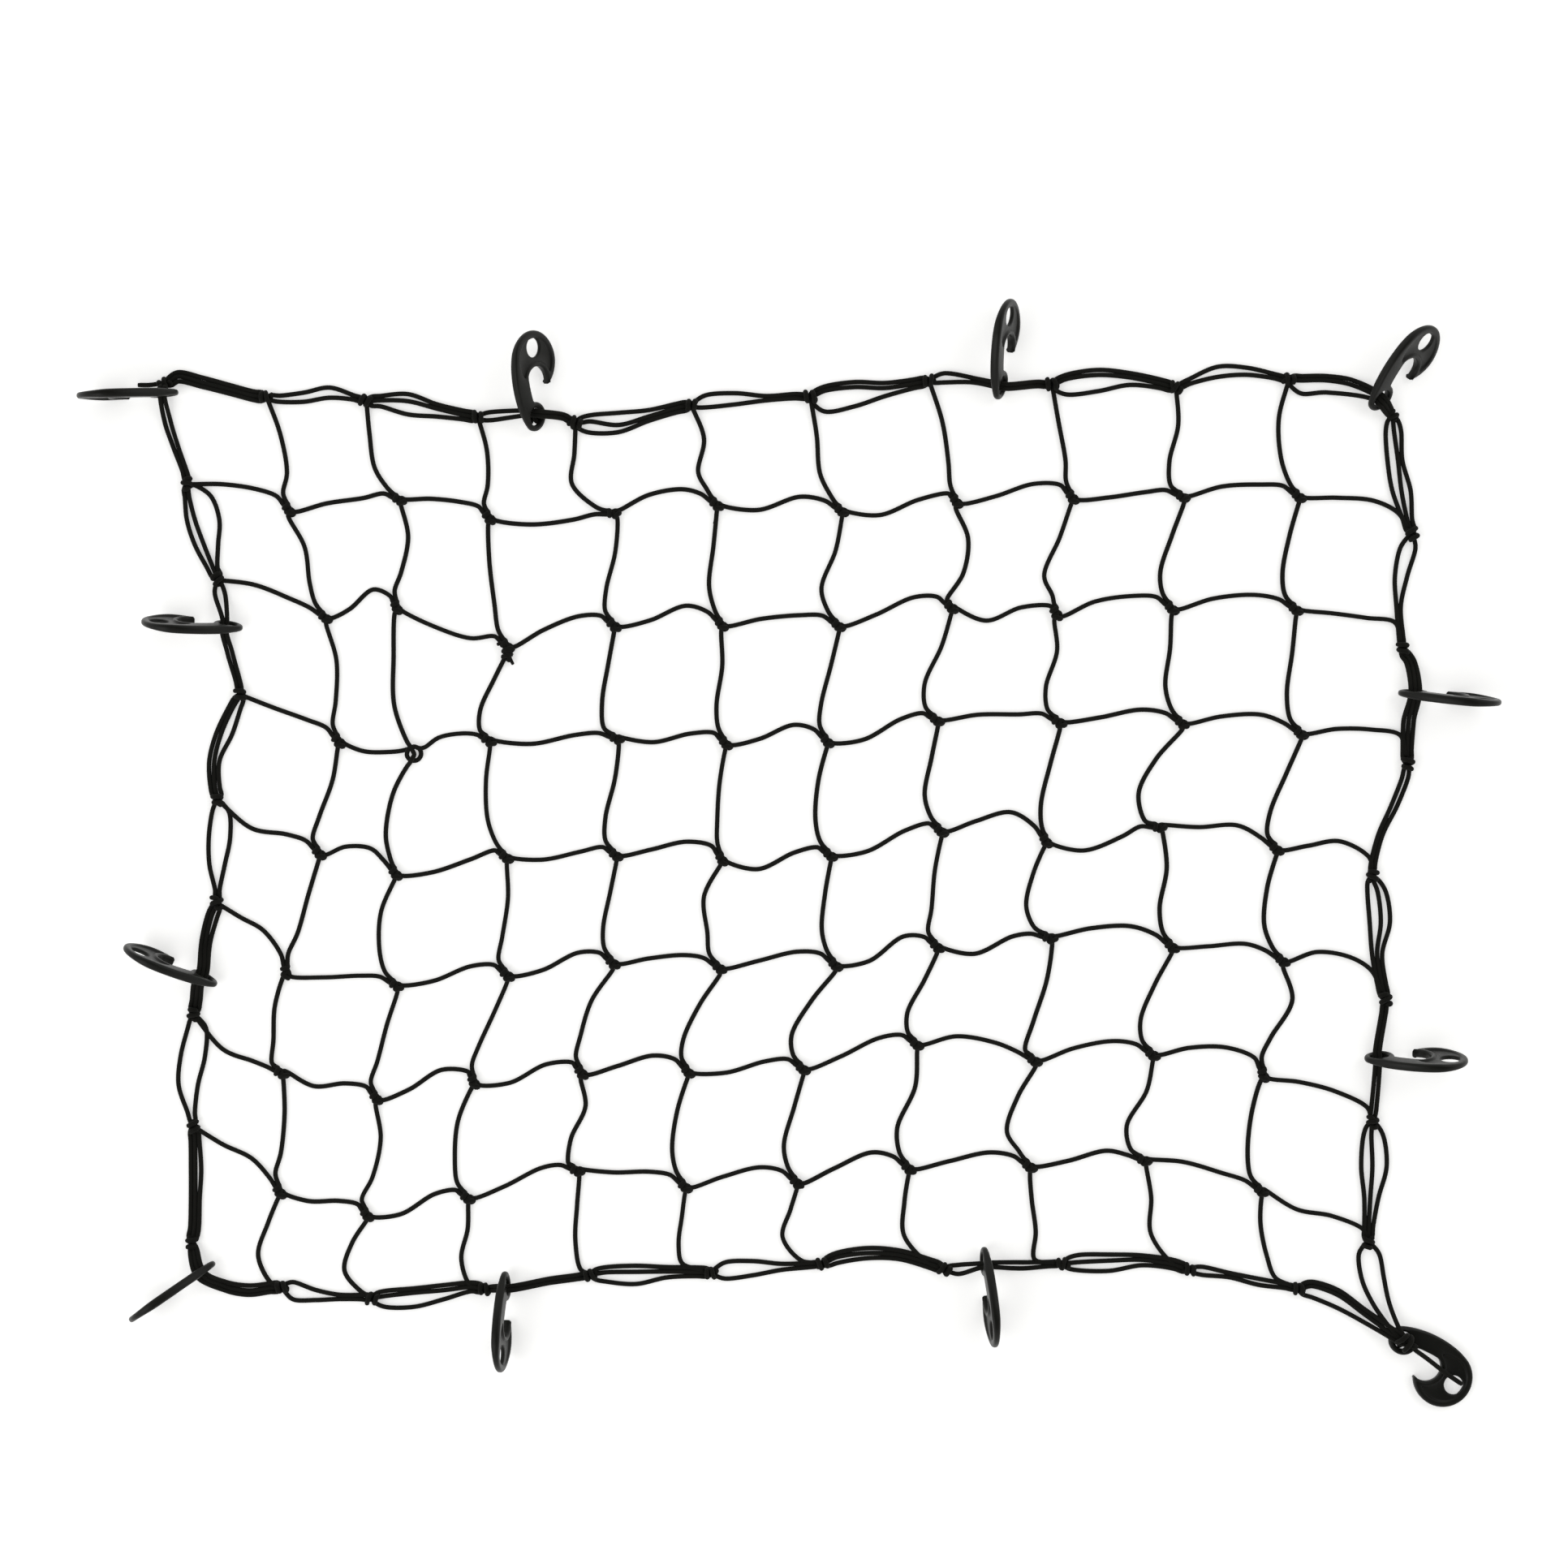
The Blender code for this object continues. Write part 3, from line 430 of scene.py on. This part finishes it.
# ---------------------------------------------------------------- round cords
def smooth(points, steps):
    """A smooth curve through points; steps holds the wanted spacing at each point."""
    ends = [points[0] * 2 - points[1]] + list(points) + [points[-1] * 2 - points[-2]]
    made = []
    for i in range(1, len(ends) - 2):
        a, b, c, d = ends[i - 1 : i + 3]
        t1 = max((b - a).length, 1e-3) ** 0.5
        t2 = t1 + max((c - b).length, 1e-3) ** 0.5
        t3 = t2 + max((d - c).length, 1e-3) ** 0.5
        spacing = min(steps[i - 1], steps[min(i, len(steps) - 1)])
        count = max(1, round((c - b).length / spacing))
        for j in range(count):
            t = t1 + (t2 - t1) * j / count
            ab = a.lerp(b, t / t1)
            bc = b.lerp(c, (t - t1) / (t2 - t1))
            cd = c.lerp(d, (t - t2) / (t3 - t2))
            abc = ab.lerp(bc, t / t2)
            bcd = bc.lerp(cd, (t - t1) / (t3 - t1))
            made.append(abc.lerp(bcd, (t - t1) / (t2 - t1)))
    made.append(points[-1].copy())
    return made


def sweep(bm, path, radius=SHEATH):
    """A round tube along a path, with its length and its turn kept as UV in millimetres."""
    layer = bm.loops.layers.uv.verify()
    side = None
    previous = None
    run = random.uniform(0, BRAID_START)
    girth = 2 * math.pi * radius
    for i, at in enumerate(path):
        along = (path[min(i + 1, len(path) - 1)] - path[max(i - 1, 0)]).normalized()
        if side is None:
            side = along.cross(Vector((0, 0, 1))).normalized()
        side = (side - along * side.dot(along)).normalized()
        rise = along.cross(side)
        edge = radius * (CUT_END if i in (0, len(path) - 1) else 1.0)
        verts = []
        for k in range(SIDES):
            turn = 2 * math.pi * k / SIDES
            verts.append(bm.verts.new(at + (side * math.cos(turn) + rise * math.sin(turn)) * edge))
        if previous:
            gap = (at - path[i - 1]).length
            for k in range(SIDES):
                face = bm.faces.new(
                    (previous[k], previous[(k + 1) % SIDES], verts[(k + 1) % SIDES], verts[k])
                )
                face.smooth = True
                around = (k, k + 1, k + 1, k)
                length = (run, run, run + gap, run + gap)
                for loop, share, far in zip(face.loops, around, length):
                    loop[layer].uv = (girth * share / SIDES, far)
            run += gap
        else:
            bm.faces.new(verts[::-1])
        previous = verts
    bm.faces.new(previous)


class Path:
    """The points that a cord follows, with the spacing wanted at each."""

    def __init__(self):
        self.points = []
        self.steps = []

    def add(self, point, step=STEP):
        if self.points and (Vector(point) - self.points[-1]).length < LEAST_GAP:
            return
        self.points.append(Vector(point))
        self.steps.append(step)

    def sweep(self, bm):
        """The cord along this route, nowhere lower than on the floor."""
        points = smooth(self.points, self.steps)
        for point in points:
            point.z = max(point.z, SHEATH)
        sweep(bm, points)


def round_knot(path, turns, at, lay, size, flip, foot=0.0):
    """Adds a knot's wraps to a path; turns are rows of (along, off, turned)."""
    ahead = heading(lay)
    left = heading(lay + 90)
    for along, off, turned in turns:
        turn = math.radians(turned)
        across = off * size * math.cos(turn) * flip
        height = KNOT_MIDDLE * size + KNOT_FLAT * off * size * math.sin(turn)
        height = max(height, CORD) + foot
        if along < KNOT_MOUTH:
            height = foot + MOUTH_SINK * CORD + (1 - MOUTH_SINK) * height
        point = at + ahead * along * size + left * across
        path.add((point.x, point.y, height), KNOT_STEP)


def bowed(start, end, bows, upright, shares=(1 / 3, 2 / 3)):
    """Points from start to end, each off the straight line by its bow."""
    off = Vector((1, 0, 0)) if upright else Vector((0, 1, 0))
    return [start.lerp(end, share) + off * bow for share, bow in zip(shares, bows)]


def spaced(values):
    """The bows of a run's cords, pushed apart until no two cords are in one place."""
    values = sorted(values, reverse=True)
    for _ in range(SPACING_ROUNDS):
        for i in range(1, len(values)):
            lack = PITCH - (values[i - 1] - values[i])
            if lack > 0:
                values[i - 1] += lack / 2
                values[i] -= lack / 2
    return values


def piece(bm, name, finish, replaced):
    """The finished mesh in metres in the part's frame, as an object on the one body."""
    bmesh.ops.translate(bm, verts=bm.verts[:], vec=-MIDDLE)
    bmesh.ops.scale(bm, verts=bm.verts[:], vec=(MM, MM, MM))
    data = bpy.data.meshes.new(name)
    bm.to_mesh(data)
    bm.free()
    made = bpy.data.objects.new(name, data)
    bpy.context.scene.collection.objects.link(made)
    data.materials.append(finish)
    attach(made, "root")
    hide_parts(replaced)


# ---------------------------------------------------------------- hooks
def hook_frames():
    """Each hook's place: its own X along it, Y to its back, Z through its eye."""
    frames = {}
    for name, x, y, points, tip, lean, *_ in HOOKS:
        if lean is not None:
            rolled = math.tan(HOOK_PITCH) * math.sin(math.radians(lean))
            points += tip * math.degrees(math.atan(rolled))
        ahead = heading(points)
        aside = heading(points + 90 * tip)
        if lean is None:
            along, back = ahead, -aside
            height = HOOK_THICK / 2
        else:
            tilt = math.radians(lean)
            rise = Vector((0, 0, 1)) * math.cos(tilt) - aside * math.sin(tilt)
            along = ahead * math.cos(HOOK_PITCH) + rise * math.sin(HOOK_PITCH)
            back = rise * math.cos(HOOK_PITCH) - ahead * math.sin(HOOK_PITCH)
            height = HOOK_EYE * math.cos(tilt) + HOOK_THICK / 2 * math.sin(tilt)
        place = Matrix((along, back, along.cross(back))).transposed().to_4x4()
        place.translation = Vector((x, y, height))
        frames[name] = place
    return frames


def arc(at, radius, first, last):
    steps = max(2, round(abs(math.radians(last - first)) * radius / ARC_STEP))
    turns = [math.radians(first + (last - first) * i / steps) for i in range(steps + 1)]
    return [Vector((at[0] + radius * math.cos(t), at[1] + radius * math.sin(t))) for t in turns]


def rounded(points, rounds):
    """The closed outline with its corners eased."""
    for _ in range(rounds):
        count = len(points)
        points = [
            (points[i - 1] + points[i] * 2 + points[(i + 1) % count]) / 4 for i in range(count)
        ]
    return points


def hook_outline():
    points = arc(HOOK_BACK_AT, HOOK_BACK, 126.0, 90.0)
    points += arc(HOOK_HEAD_AT, HOOK_HEAD, 86.0, -138.0)
    points += [Vector(HOOK_TIP)]
    points += arc(HOOK_MOUTH_AT, HOOK_MOUTH, -93.0, 75.0)
    points += [Vector(point) for point in HOOK_NECK]
    points += arc((0.0, 0.0), HOOK_EYE, 16.0, -216.0)
    return rounded(points, 2)


def half_thickness(u):
    if u < HOOK_FULL[0]:
        share = (u - HOOK_ENDS[0]) / (HOOK_FULL[0] - HOOK_ENDS[0])
    elif u > HOOK_FULL[1]:
        share = (HOOK_ENDS[1] - u) / (HOOK_ENDS[1] - HOOK_FULL[1])
    else:
        share = 1.0
    share = min(1.0, max(0.0, share))
    share = share * share * (3 - 2 * share)
    return (HOOK_THIN + (HOOK_THICK - HOOK_THIN) * share) / 2


def inset(points, depth, outside):
    """The loop moved in from its edge, into the plastic, by depth."""
    count = len(points)
    moved = []
    for i, point in enumerate(points):
        along = (points[(i + 1) % count] - points[i - 1]).normalized()
        moved.append(point + Vector((along.y, -along.x)) * depth * outside)
    return moved


def web_outline():
    """The web's edge: the head's circle, less the rim round the mouth."""
    head, mouth = Vector(HOOK_HEAD_AT), Vector(HOOK_MOUTH_AT)
    gap = (mouth - head).length
    across = (WEB_EDGE**2 - WEB_BY_MOUTH**2 + gap**2) / (2 * gap)
    facing = bearing(mouth - head)
    half = math.degrees(math.acos(across / WEB_EDGE))
    back = math.degrees(math.acos((gap - across) / WEB_BY_MOUTH))
    points = arc(HOOK_HEAD_AT, WEB_EDGE, facing + half, facing - half + 360)
    points += arc(HOOK_MOUTH_AT, WEB_BY_MOUTH, facing + 180 + back, facing + 180 - back)[1:-1]
    return rounded(points, 3)


def ring(bm, place, moved, heights, side):
    """Vertices round one loop of a hook, at these heights off its middle plane."""
    made = []
    for at, height in zip(moved, heights):
        made.append(bm.verts.new(place @ Vector((at.x, at.y, side * height))))
    return made


def skin(bm, rings):
    for low, high in zip(rings, rings[1:]):
        for i in range(len(low)):
            bm.faces.new((low[i - 1], low[i], high[i], high[i - 1]))


def inward(points):
    """1 or -1, so that inset moves this loop to its own inside."""
    pairs = zip(points[-1:] + points, points)
    return 1 if sum(a.x * b.y - b.x * a.y for a, b in pairs) < 0 else -1


def hook_body(bm, place):
    """One moulded hook: rounded edges drawn ring by ring round its outline and holes, and
    on each side a thin web, set back, round the hole in its head."""
    tops = {1: [], -1: []}
    webs = {1: [], -1: []}
    loops = (
        (hook_outline(), 1, tops, None),
        (arc((0.0, 0.0), HOOK_EYE_HOLE, 0.0, LAST_TURN), -1, tops, None),
        (arc(HOOK_HOLE_AT, HOOK_HOLE, 0.0, LAST_TURN), -1, webs, HOOK_WEB),
    )
    for points, outside, faces, web in loops:
        halves = [web or half_thickness(point.x) for point in points]
        edge = min(halves) * HOOK_ROUND
        rings = []
        for level in range(-EDGE_RINGS, EDGE_RINGS + 1):
            lift = math.radians(90 * abs(level) / EDGE_RINGS)
            moved = inset(points, edge * (1 - math.cos(lift)), outside * inward(points))
            heights = [half - edge * (1 - math.sin(lift)) if level else 0.0 for half in halves]
            rings.append(ring(bm, place, moved, heights, math.copysign(1, level)))
        skin(bm, rings)
        faces[-1].append(rings[0])
        faces[1].append(rings[-1])
    edge = web_outline()
    for side in (1, -1):
        rings = []
        for step in range(EDGE_RINGS + 1):
            share = step / EDGE_RINGS
            moved = inset(edge, WEB_SLOPE[0] + WEB_SLOPE[1] * share, inward(edge))
            fall = share * share * (3 - 2 * share)
            heights = [half_thickness(p.x) * (1 - fall) + HOOK_WEB * fall for p in edge]
            rings.append(ring(bm, place, moved, heights, side))
        skin(bm, rings)
        tops[side].append(rings[0])
        webs[side].append(rings[-1])
    for flat in (*tops.values(), *webs.values()):
        edges = [bm.edges.get((line[i - 1], line[i])) for line in flat for i in range(len(line))]
        bmesh.ops.triangle_fill(bm, use_beauty=True, edges=edges)
    for face in bm.faces:
        face.smooth = True
    bmesh.ops.recalc_face_normals(bm, faces=bm.faces[:])


# ---------------------------------------------------------------- the cords' routes
def rim_knot(name):
    """Where the cords of a rim knot meet."""
    x, y, foot, _ = RIM_KNOTS[name]
    return Vector((x, y, foot + CORD))


def mesh_paths():
    """The routes of the rows and of the columns, each one cord from rim to rim."""
    knots = {(row[0], row[1]): row for row in MESH}
    places = {key: Vector((row[2], row[3], CORD)) for key, row in knots.items()}
    for i in range(1, COLUMNS + 1):
        for row, name in ((0, "T%d"), (ROWS + 1, "B%d")):
            places[row, i] = rim_knot(name % i)
    for i in range(1, ROWS + 1):
        for column, name in ((0, "L%d"), (COLUMNS + 1, "R%d")):
            places[i, column] = rim_knot(name % i)
    sizes = {key: random.uniform(*KNOT_SIZES) for key in knots}
    turned = {key: random.uniform(*KNOT_TURNS) for key in knots}
    made = {key: (knots[key], sizes[key], turned[key]) for key in knots}
    rows, columns = [], []
    lift = Vector((0, 0, JOIN_LIFT))
    ends = {row: rest for row, *rest in ROW_ENDS}
    for row in range(1, ROWS + 1):
        path = Path()
        path.add(places[row, 0] + lift)
        for column in range(1, COLUMNS + 2):
            thread(path, places, made, (row, column - 1), (row, column), ends[row], False)
        rows.append(path)
    ends = {column: rest for column, *rest in COLUMN_ENDS}
    for column in range(1, COLUMNS + 1):
        path = Path()
        path.add(places[0, column] + lift)
        for row in range(1, ROWS + 2):
            thread(path, places, made, (row - 1, column), (row, column), ends[column], True)
        columns.append(path)
    return rows, columns


def thread(path, places, knots, first, last, end, upright):
    """Adds one span to a cord's route, and the knot at its far end."""
    a, b = places[first], places[last]
    if last in knots:
        (*_, lies, left1, left2, above1, above2), size, turned = knots[last]
        bows = (above1, above2) if upright else (left1, left2)
        for point in bowed(a, b, bows, upright):
            path.add(point)
        if last == OPEN_KNOT:
            for x, y, z in OPEN_COLUMN if upright else OPEN_ROW:
                path.add((b.x + x, b.y + y, z), KNOT_STEP)
            return
        lay = heading(lies)
        aside = Vector((-lay.y, lay.x, 0)) * (1 if upright else -1)
        neck = min(NECK, NECK_SHARE * (path.points[-1] - b).dot(-lay))
        if neck > NECK_LEAST:
            path.add(b - lay * neck + aside * NECK_SIDE * neck / NECK)
        turns = BACK_CORD if upright else FRONT_CORD
        rows = [(x, off, turn + (turned if x > TURNED_FROM else 0)) for x, off, turn in turns]
        round_knot(path, rows, b, lies, size, 1)
        along, off = LEAVES_COLUMN if upright else LEAVES_ROW
        leaves = b + (lay * along + Vector((-lay.y, lay.x, 0)) * off) * size
        path.add((leaves.x, leaves.y, LEAVES_HEIGHT), KNOT_STEP)
        return
    for point in bowed(a, b, end[:2], upright):
        path.add(point)
    meets = Vector((end[2], end[3], CORD))
    path.add(meets)
    inner = b.lerp(meets, JOIN_SHARE)
    path.add((inner.x, inner.y, JOIN_HEIGHT))


def rim_paths(frames):
    """The routes of the rim's cords, one for each cord of each run."""
    paths = []
    seats = {hook[0]: (hook[7], -hook[6]) for hook in HOOKS}
    for first, last, hook, *bows in RUNS:
        a, b = rim_knot(first), rim_knot(last)
        upright = abs(b.y - a.y) > abs(b.x - a.x)
        up = Vector((1, 0, 0)) if upright else Vector((0, 1, 0))
        chord = (b - a).normalized()
        columns = [spaced(bow[i] for bow in bows) for i in range(len(RUN_SHARES))]
        for rank in range(len(bows)):
            share = (len(bows) - 1) / 2 - rank
            lane = [column[rank] for column in columns]
            stations = bowed(a, b, lane, upright, RUN_SHARES)
            if last == "B11":
                for station, height in zip(stations, B11_RISE):
                    station.z = height
            if hook:
                place = frames[hook]
                turn = math.copysign(PITCH, place.col[0].xyz.dot(up))
                ahead, below = seats[hook]
                seat = place @ Vector((ahead + share * turn, below, 0))
                through = (place.col[2].xyz * Vector((1, 1, SEAT_SLOPE))).normalized() * SEAT
                through *= math.copysign(1.0, through.dot(chord))
                reach = [(s - seat).dot(chord) for s in stations]
                kept = [s for s, r in zip(stations, reach) if r < -SEAT_REACH]
                later = [s for s, r in zip(stations, reach) if r > SEAT_REACH]
                stations = kept + [seat - through, seat + through] + later
            path = Path()
            for knot, near, way in ((a, stations[0], 1), (b, stations[-1], -1)):
                leaving = (near - knot).normalized()
                side = Vector((-leaving.y, leaving.x, 0))
                side *= math.copysign(1, side.dot(up))
                inner = knot + up * share * RIM_INNER[0] + Vector((0, 0, RIM_INNER[1]))
                outer = knot + leaving * RIM_OUTER[0] + side * share * RIM_OUTER[1]
                if way > 0:
                    path.add(inner)
                    path.add(outer)
                    for station in stations:
                        path.add(station)
                else:
                    path.add(outer)
                    path.add(inner)
            paths.append(path)
    return paths


def rim_wraps():
    """The wrap of every rim knot."""
    paths = []
    arriving = {}
    for first, last, _, *bows in RUNS:
        a, b = rim_knot(first), rim_knot(last)
        upright = abs(b.y - a.y) > abs(b.x - a.x)
        middle = [sum(bow[i] for bow in bows) / len(bows) for i in range(len(RUN_SHARES))]
        stations = bowed(a, b, middle, upright, RUN_SHARES)
        arriving.setdefault(last, []).append(bearing(b - stations[-1]))
        arriving.setdefault(first, []).append(bearing(stations[0] - a))
    for name, (x, y, foot, size) in RIM_KNOTS.items():
        lay = arriving[name][0]
        path = Path()
        start = random.uniform(0, 360)
        rows = [(along, off, turned + start) for along, off, turned in RIM_WRAP]
        flip = random.choice((1, -1))
        round_knot(path, rows, Vector((x, y, 0)), lay, WRAP_SIZE * size, flip, foot)
        paths.append(path)
    for x, y, lay, size in EXTRA_WRAPS:
        path = Path()
        round_knot(path, RIM_WRAP, Vector((x, y, 0)), lay, size, 1)
        paths.append(path)
    return paths


# ---------------------------------------------------------------- materials
def node(tree, kind, settings=None, sockets=None, out=0):
    """A node of this kind: its settings, then its sockets' values or links. Gives one output."""
    made = tree.nodes.new(kind)
    for name, value in (settings or {}).items():
        setattr(made, name, value)
    for key, value in (sockets or {}).items():
        if isinstance(value, Field):
            tree.links.new(value.socket, made.inputs[key])
        else:
            made.inputs[key].default_value = value
    return Field(tree, made.outputs[out])


class Field:
    """A value in a material's node tree, with arithmetic."""

    def __init__(self, tree, socket):
        self.tree = tree
        self.socket = socket

    def apply(self, operation, other=0.0, swap=False):
        pair = (other, self) if swap else (self, other)
        return node(self.tree, "ShaderNodeMath", {"operation": operation}, dict(enumerate(pair)))

    def __add__(self, other):
        return self.apply("ADD", other)

    def __sub__(self, other):
        return self.apply("SUBTRACT", other)

    def __rsub__(self, other):
        return self.apply("SUBTRACT", other, True)

    def __mul__(self, other):
        return self.apply("MULTIPLY", other)

    __radd__ = __add__
    __rmul__ = __mul__

    def between(self, low, high, **results):
        """0 below low, 1 above high, eased between."""
        sockets = {"Value": self, "From Min": low, "From Max": high, **results}
        eased = {"interpolation_type": "SMOOTHSTEP"}
        return node(self.tree, "ShaderNodeMapRange", eased, sockets, "Result")


class Surface:
    """A Principled material under construction."""

    def __init__(self, name):
        self.material = bpy.data.materials.new(name)
        self.material.use_nodes = True
        self.tree = self.material.node_tree
        self.shader = self.tree.nodes["Principled BSDF"]

    def set(self, name, value):
        if isinstance(value, Field):
            self.tree.links.new(value.socket, self.shader.inputs[name])
        else:
            self.shader.inputs[name].default_value = value

    def uv(self):
        place = node(self.tree, "ShaderNodeUVMap", {"uv_map": "UVMap"})
        return [node(self.tree, "ShaderNodeSeparateXYZ", {}, {0: place}, out) for out in (0, 1)]

    def noise(self, scale, detail=3.0, roughness=0.6):
        place = node(self.tree, "ShaderNodeTexCoord", out="Object")
        sockets = {"Vector": place, "Scale": scale, "Detail": detail, "Roughness": roughness}
        return node(self.tree, "ShaderNodeTexNoise", {}, sockets)

    def colour(self, share, low, high):
        sockets = {0: share, 6: low + (1.0,), 7: high + (1.0,)}     # the mix's colour sockets
        self.set("Base Color", node(self.tree, "ShaderNodeMix", {"data_type": "RGBA"}, sockets, 2))

    def bump(self, field, distance, strength=1.0):
        sockets = {"Distance": distance, "Strength": strength, "Height": field}
        self.set("Normal", node(self.tree, "ShaderNodeBump", {}, sockets))


def sheath_material():
    """A braided sheath: two sets of yarn crossing round the cord, with painted highlight on the
    tops of its plaits and painted shade in the grooves between them.
    """
    made = Surface("braided black sheath")
    around, along = made.uv()
    girth = 2 * math.pi * SHEATH
    plaits = 8
    lay = 7.2               # length in which a yarn goes once round
    turn = around * (1 / girth)
    far = along * (1 / lay)
    one = ((turn + far) * plaits).apply("FRACT")
    two = ((turn - far) * plaits).apply("FRACT")
    hump_one = one * (1.0 - one) * 4.0
    hump_two = two * (1.0 - two) * 4.0
    weave = hump_one.apply("MAXIMUM", hump_two)
    gap = hump_one.apply("MINIMUM", hump_two)
    grime = made.noise(900.0)
    wide = made.noise(14.0, 2.0)
    height = weave * 0.7 + gap * 0.3 + grime * 0.25
    # The colour follows the braid's relief: painted highlight on the raised plaits and painted
    # shade in the grooves, mixed with random tone from the grime and wide noises.
    light = height * 0.55 + wide * 0.35
    made.colour(light.between(0.25, 1.05), (0.0066, 0.0065, 0.0048), (0.0210, 0.0204, 0.0156))
    made.set("Roughness", 0.86 - height * 0.16)
    made.bump(height, 0.00022, 0.9)
    made.set("Sheen Weight", 0.03)
    made.set("Sheen Roughness", 0.45)
    made.set("Specular IOR Level", 0.16)
    return made.material


def plastic_material():
    """Satin moulded plastic with a fine grain and faint wear."""
    made = Surface("moulded black plastic")
    grain = made.noise(2600.0, 2.0)
    cloud = made.noise(38.0, 4.0)
    scuff = made.noise(240.0, 5.0, 0.75).between(0.56, 0.74)
    made.colour(cloud * 0.6 + scuff * 0.4, (0.0046, 0.0047, 0.0036), (0.0145, 0.0148, 0.0120))
    made.set("Roughness", 0.30 + cloud * 0.12 + scuff * 0.10)
    made.bump(grain * 0.7 + cloud * 1.2, 0.00012, 0.6)
    made.set("Specular IOR Level", 0.20)
    return made.material


# ---------------------------------------------------------------- building
random.seed(7)
sheath = sheath_material()
plastic = plastic_material()
places = hook_frames()

rows, columns = mesh_paths()
bm = bmesh.new()
for path in rows:
    path.sweep(bm)
piece(bm, "mesh_rows", sheath, "net_mesh")
bm = bmesh.new()
for path in columns:
    path.sweep(bm)
piece(bm, "mesh_columns", sheath, "net_mesh")

bm = bmesh.new()
for path in rim_paths(places) + rim_wraps():
    path.sweep(bm)
for tail in (LOW_TAIL, HIGH_TAIL):
    path = Path()
    for point in tail:
        path.add(point)
    path.sweep(bm)
for points, radius in CUT_ENDS:
    steps = [CUT_STEP] * len(points)
    sweep(bm, smooth([Vector(point) for point in points], steps), radius)
piece(bm, "rim_cord", sheath, "rim_cords")

for name in places:
    number = int(name[1:])
    bm = bmesh.new()
    hook_body(bm, places[name])
    lowest = min(vert.co.z for vert in bm.verts)
    bmesh.ops.translate(bm, verts=bm.verts[:], vec=(0, 0, -lowest))
    piece(bm, "moulded_hook_%02d" % number, plastic, "hook_%02d" % number)

# ---------------------------------------------------------------- floor, light, camera
bm = bmesh.new()
bmesh.ops.create_grid(bm, x_segments=2, y_segments=2, size=FLOOR_REACH)
data = bpy.data.meshes.new("floor")
bm.to_mesh(data)
bm.free()
floor = bpy.data.objects.new("floor", data)
floor.location = (0, 0, -FLOOR_DROP)
bpy.context.scene.collection.objects.link(floor)
paper = Surface("pale floor")
paper.colour(paper.noise(1.5, 2.0), (0.93, 0.93, 0.92), (0.95, 0.95, 0.94))
paper.set("Roughness", paper.noise(6.0) * 0.1 + 0.8)
paper.set("Emission Color", LIGHT_COLOUR)
paper.set("Emission Strength", FLOOR_GLOW)
data.materials.append(paper.material)

world = bpy.data.worlds.new("soft surround")
world.use_nodes = True
tree = world.node_tree
sky = node(tree, "ShaderNodeTexCoord", out="Generated")
height = node(tree, "ShaderNodeSeparateXYZ", {}, {0: sky}, 2)
low, high, below, above = SURROUND
strength = height.between(low, high, **{"To Min": below, "To Max": above})
tree.links.new(strength.socket, tree.nodes["Background"].inputs["Strength"])
tree.nodes["Background"].inputs["Color"].default_value = LIGHT_COLOUR
bpy.context.scene.world = world

for name, at, side, power in LAMPS:
    light = bpy.data.lights.new(name, "AREA")
    light.shape = "RECTANGLE"
    light.size = light.size_y = side
    light.energy = power
    lamp = bpy.data.objects.new(name, light)
    lamp.location = at
    lamp.rotation_mode = "QUATERNION"
    lamp.rotation_quaternion = (-Vector(at)).to_track_quat("-Z", "Y")
    bpy.context.scene.collection.objects.link(lamp)

frame_wide = PHOTO * PIXEL * MM
across, down = (PHOTO / 2 - origin for origin in PHOTO_ORIGIN)
middle = (Vector((across, -down, 0)) * PIXEL - MIDDLE) * MM
camera = bpy.data.cameras.new("camera")
camera.sensor_width = 36
camera.lens = camera.sensor_width * EYE_HEIGHT / frame_wide
camera.shift_x, camera.shift_y = EYE_SHIFT
view = bpy.data.objects.new("camera", camera)
view.location = middle - Vector((*EYE_SHIFT, 0)) * frame_wide + Vector((0, 0, EYE_HEIGHT))
bpy.context.scene.collection.objects.link(view)
bpy.context.scene.camera = view
bpy.context.scene.view_settings.view_transform = "Standard"
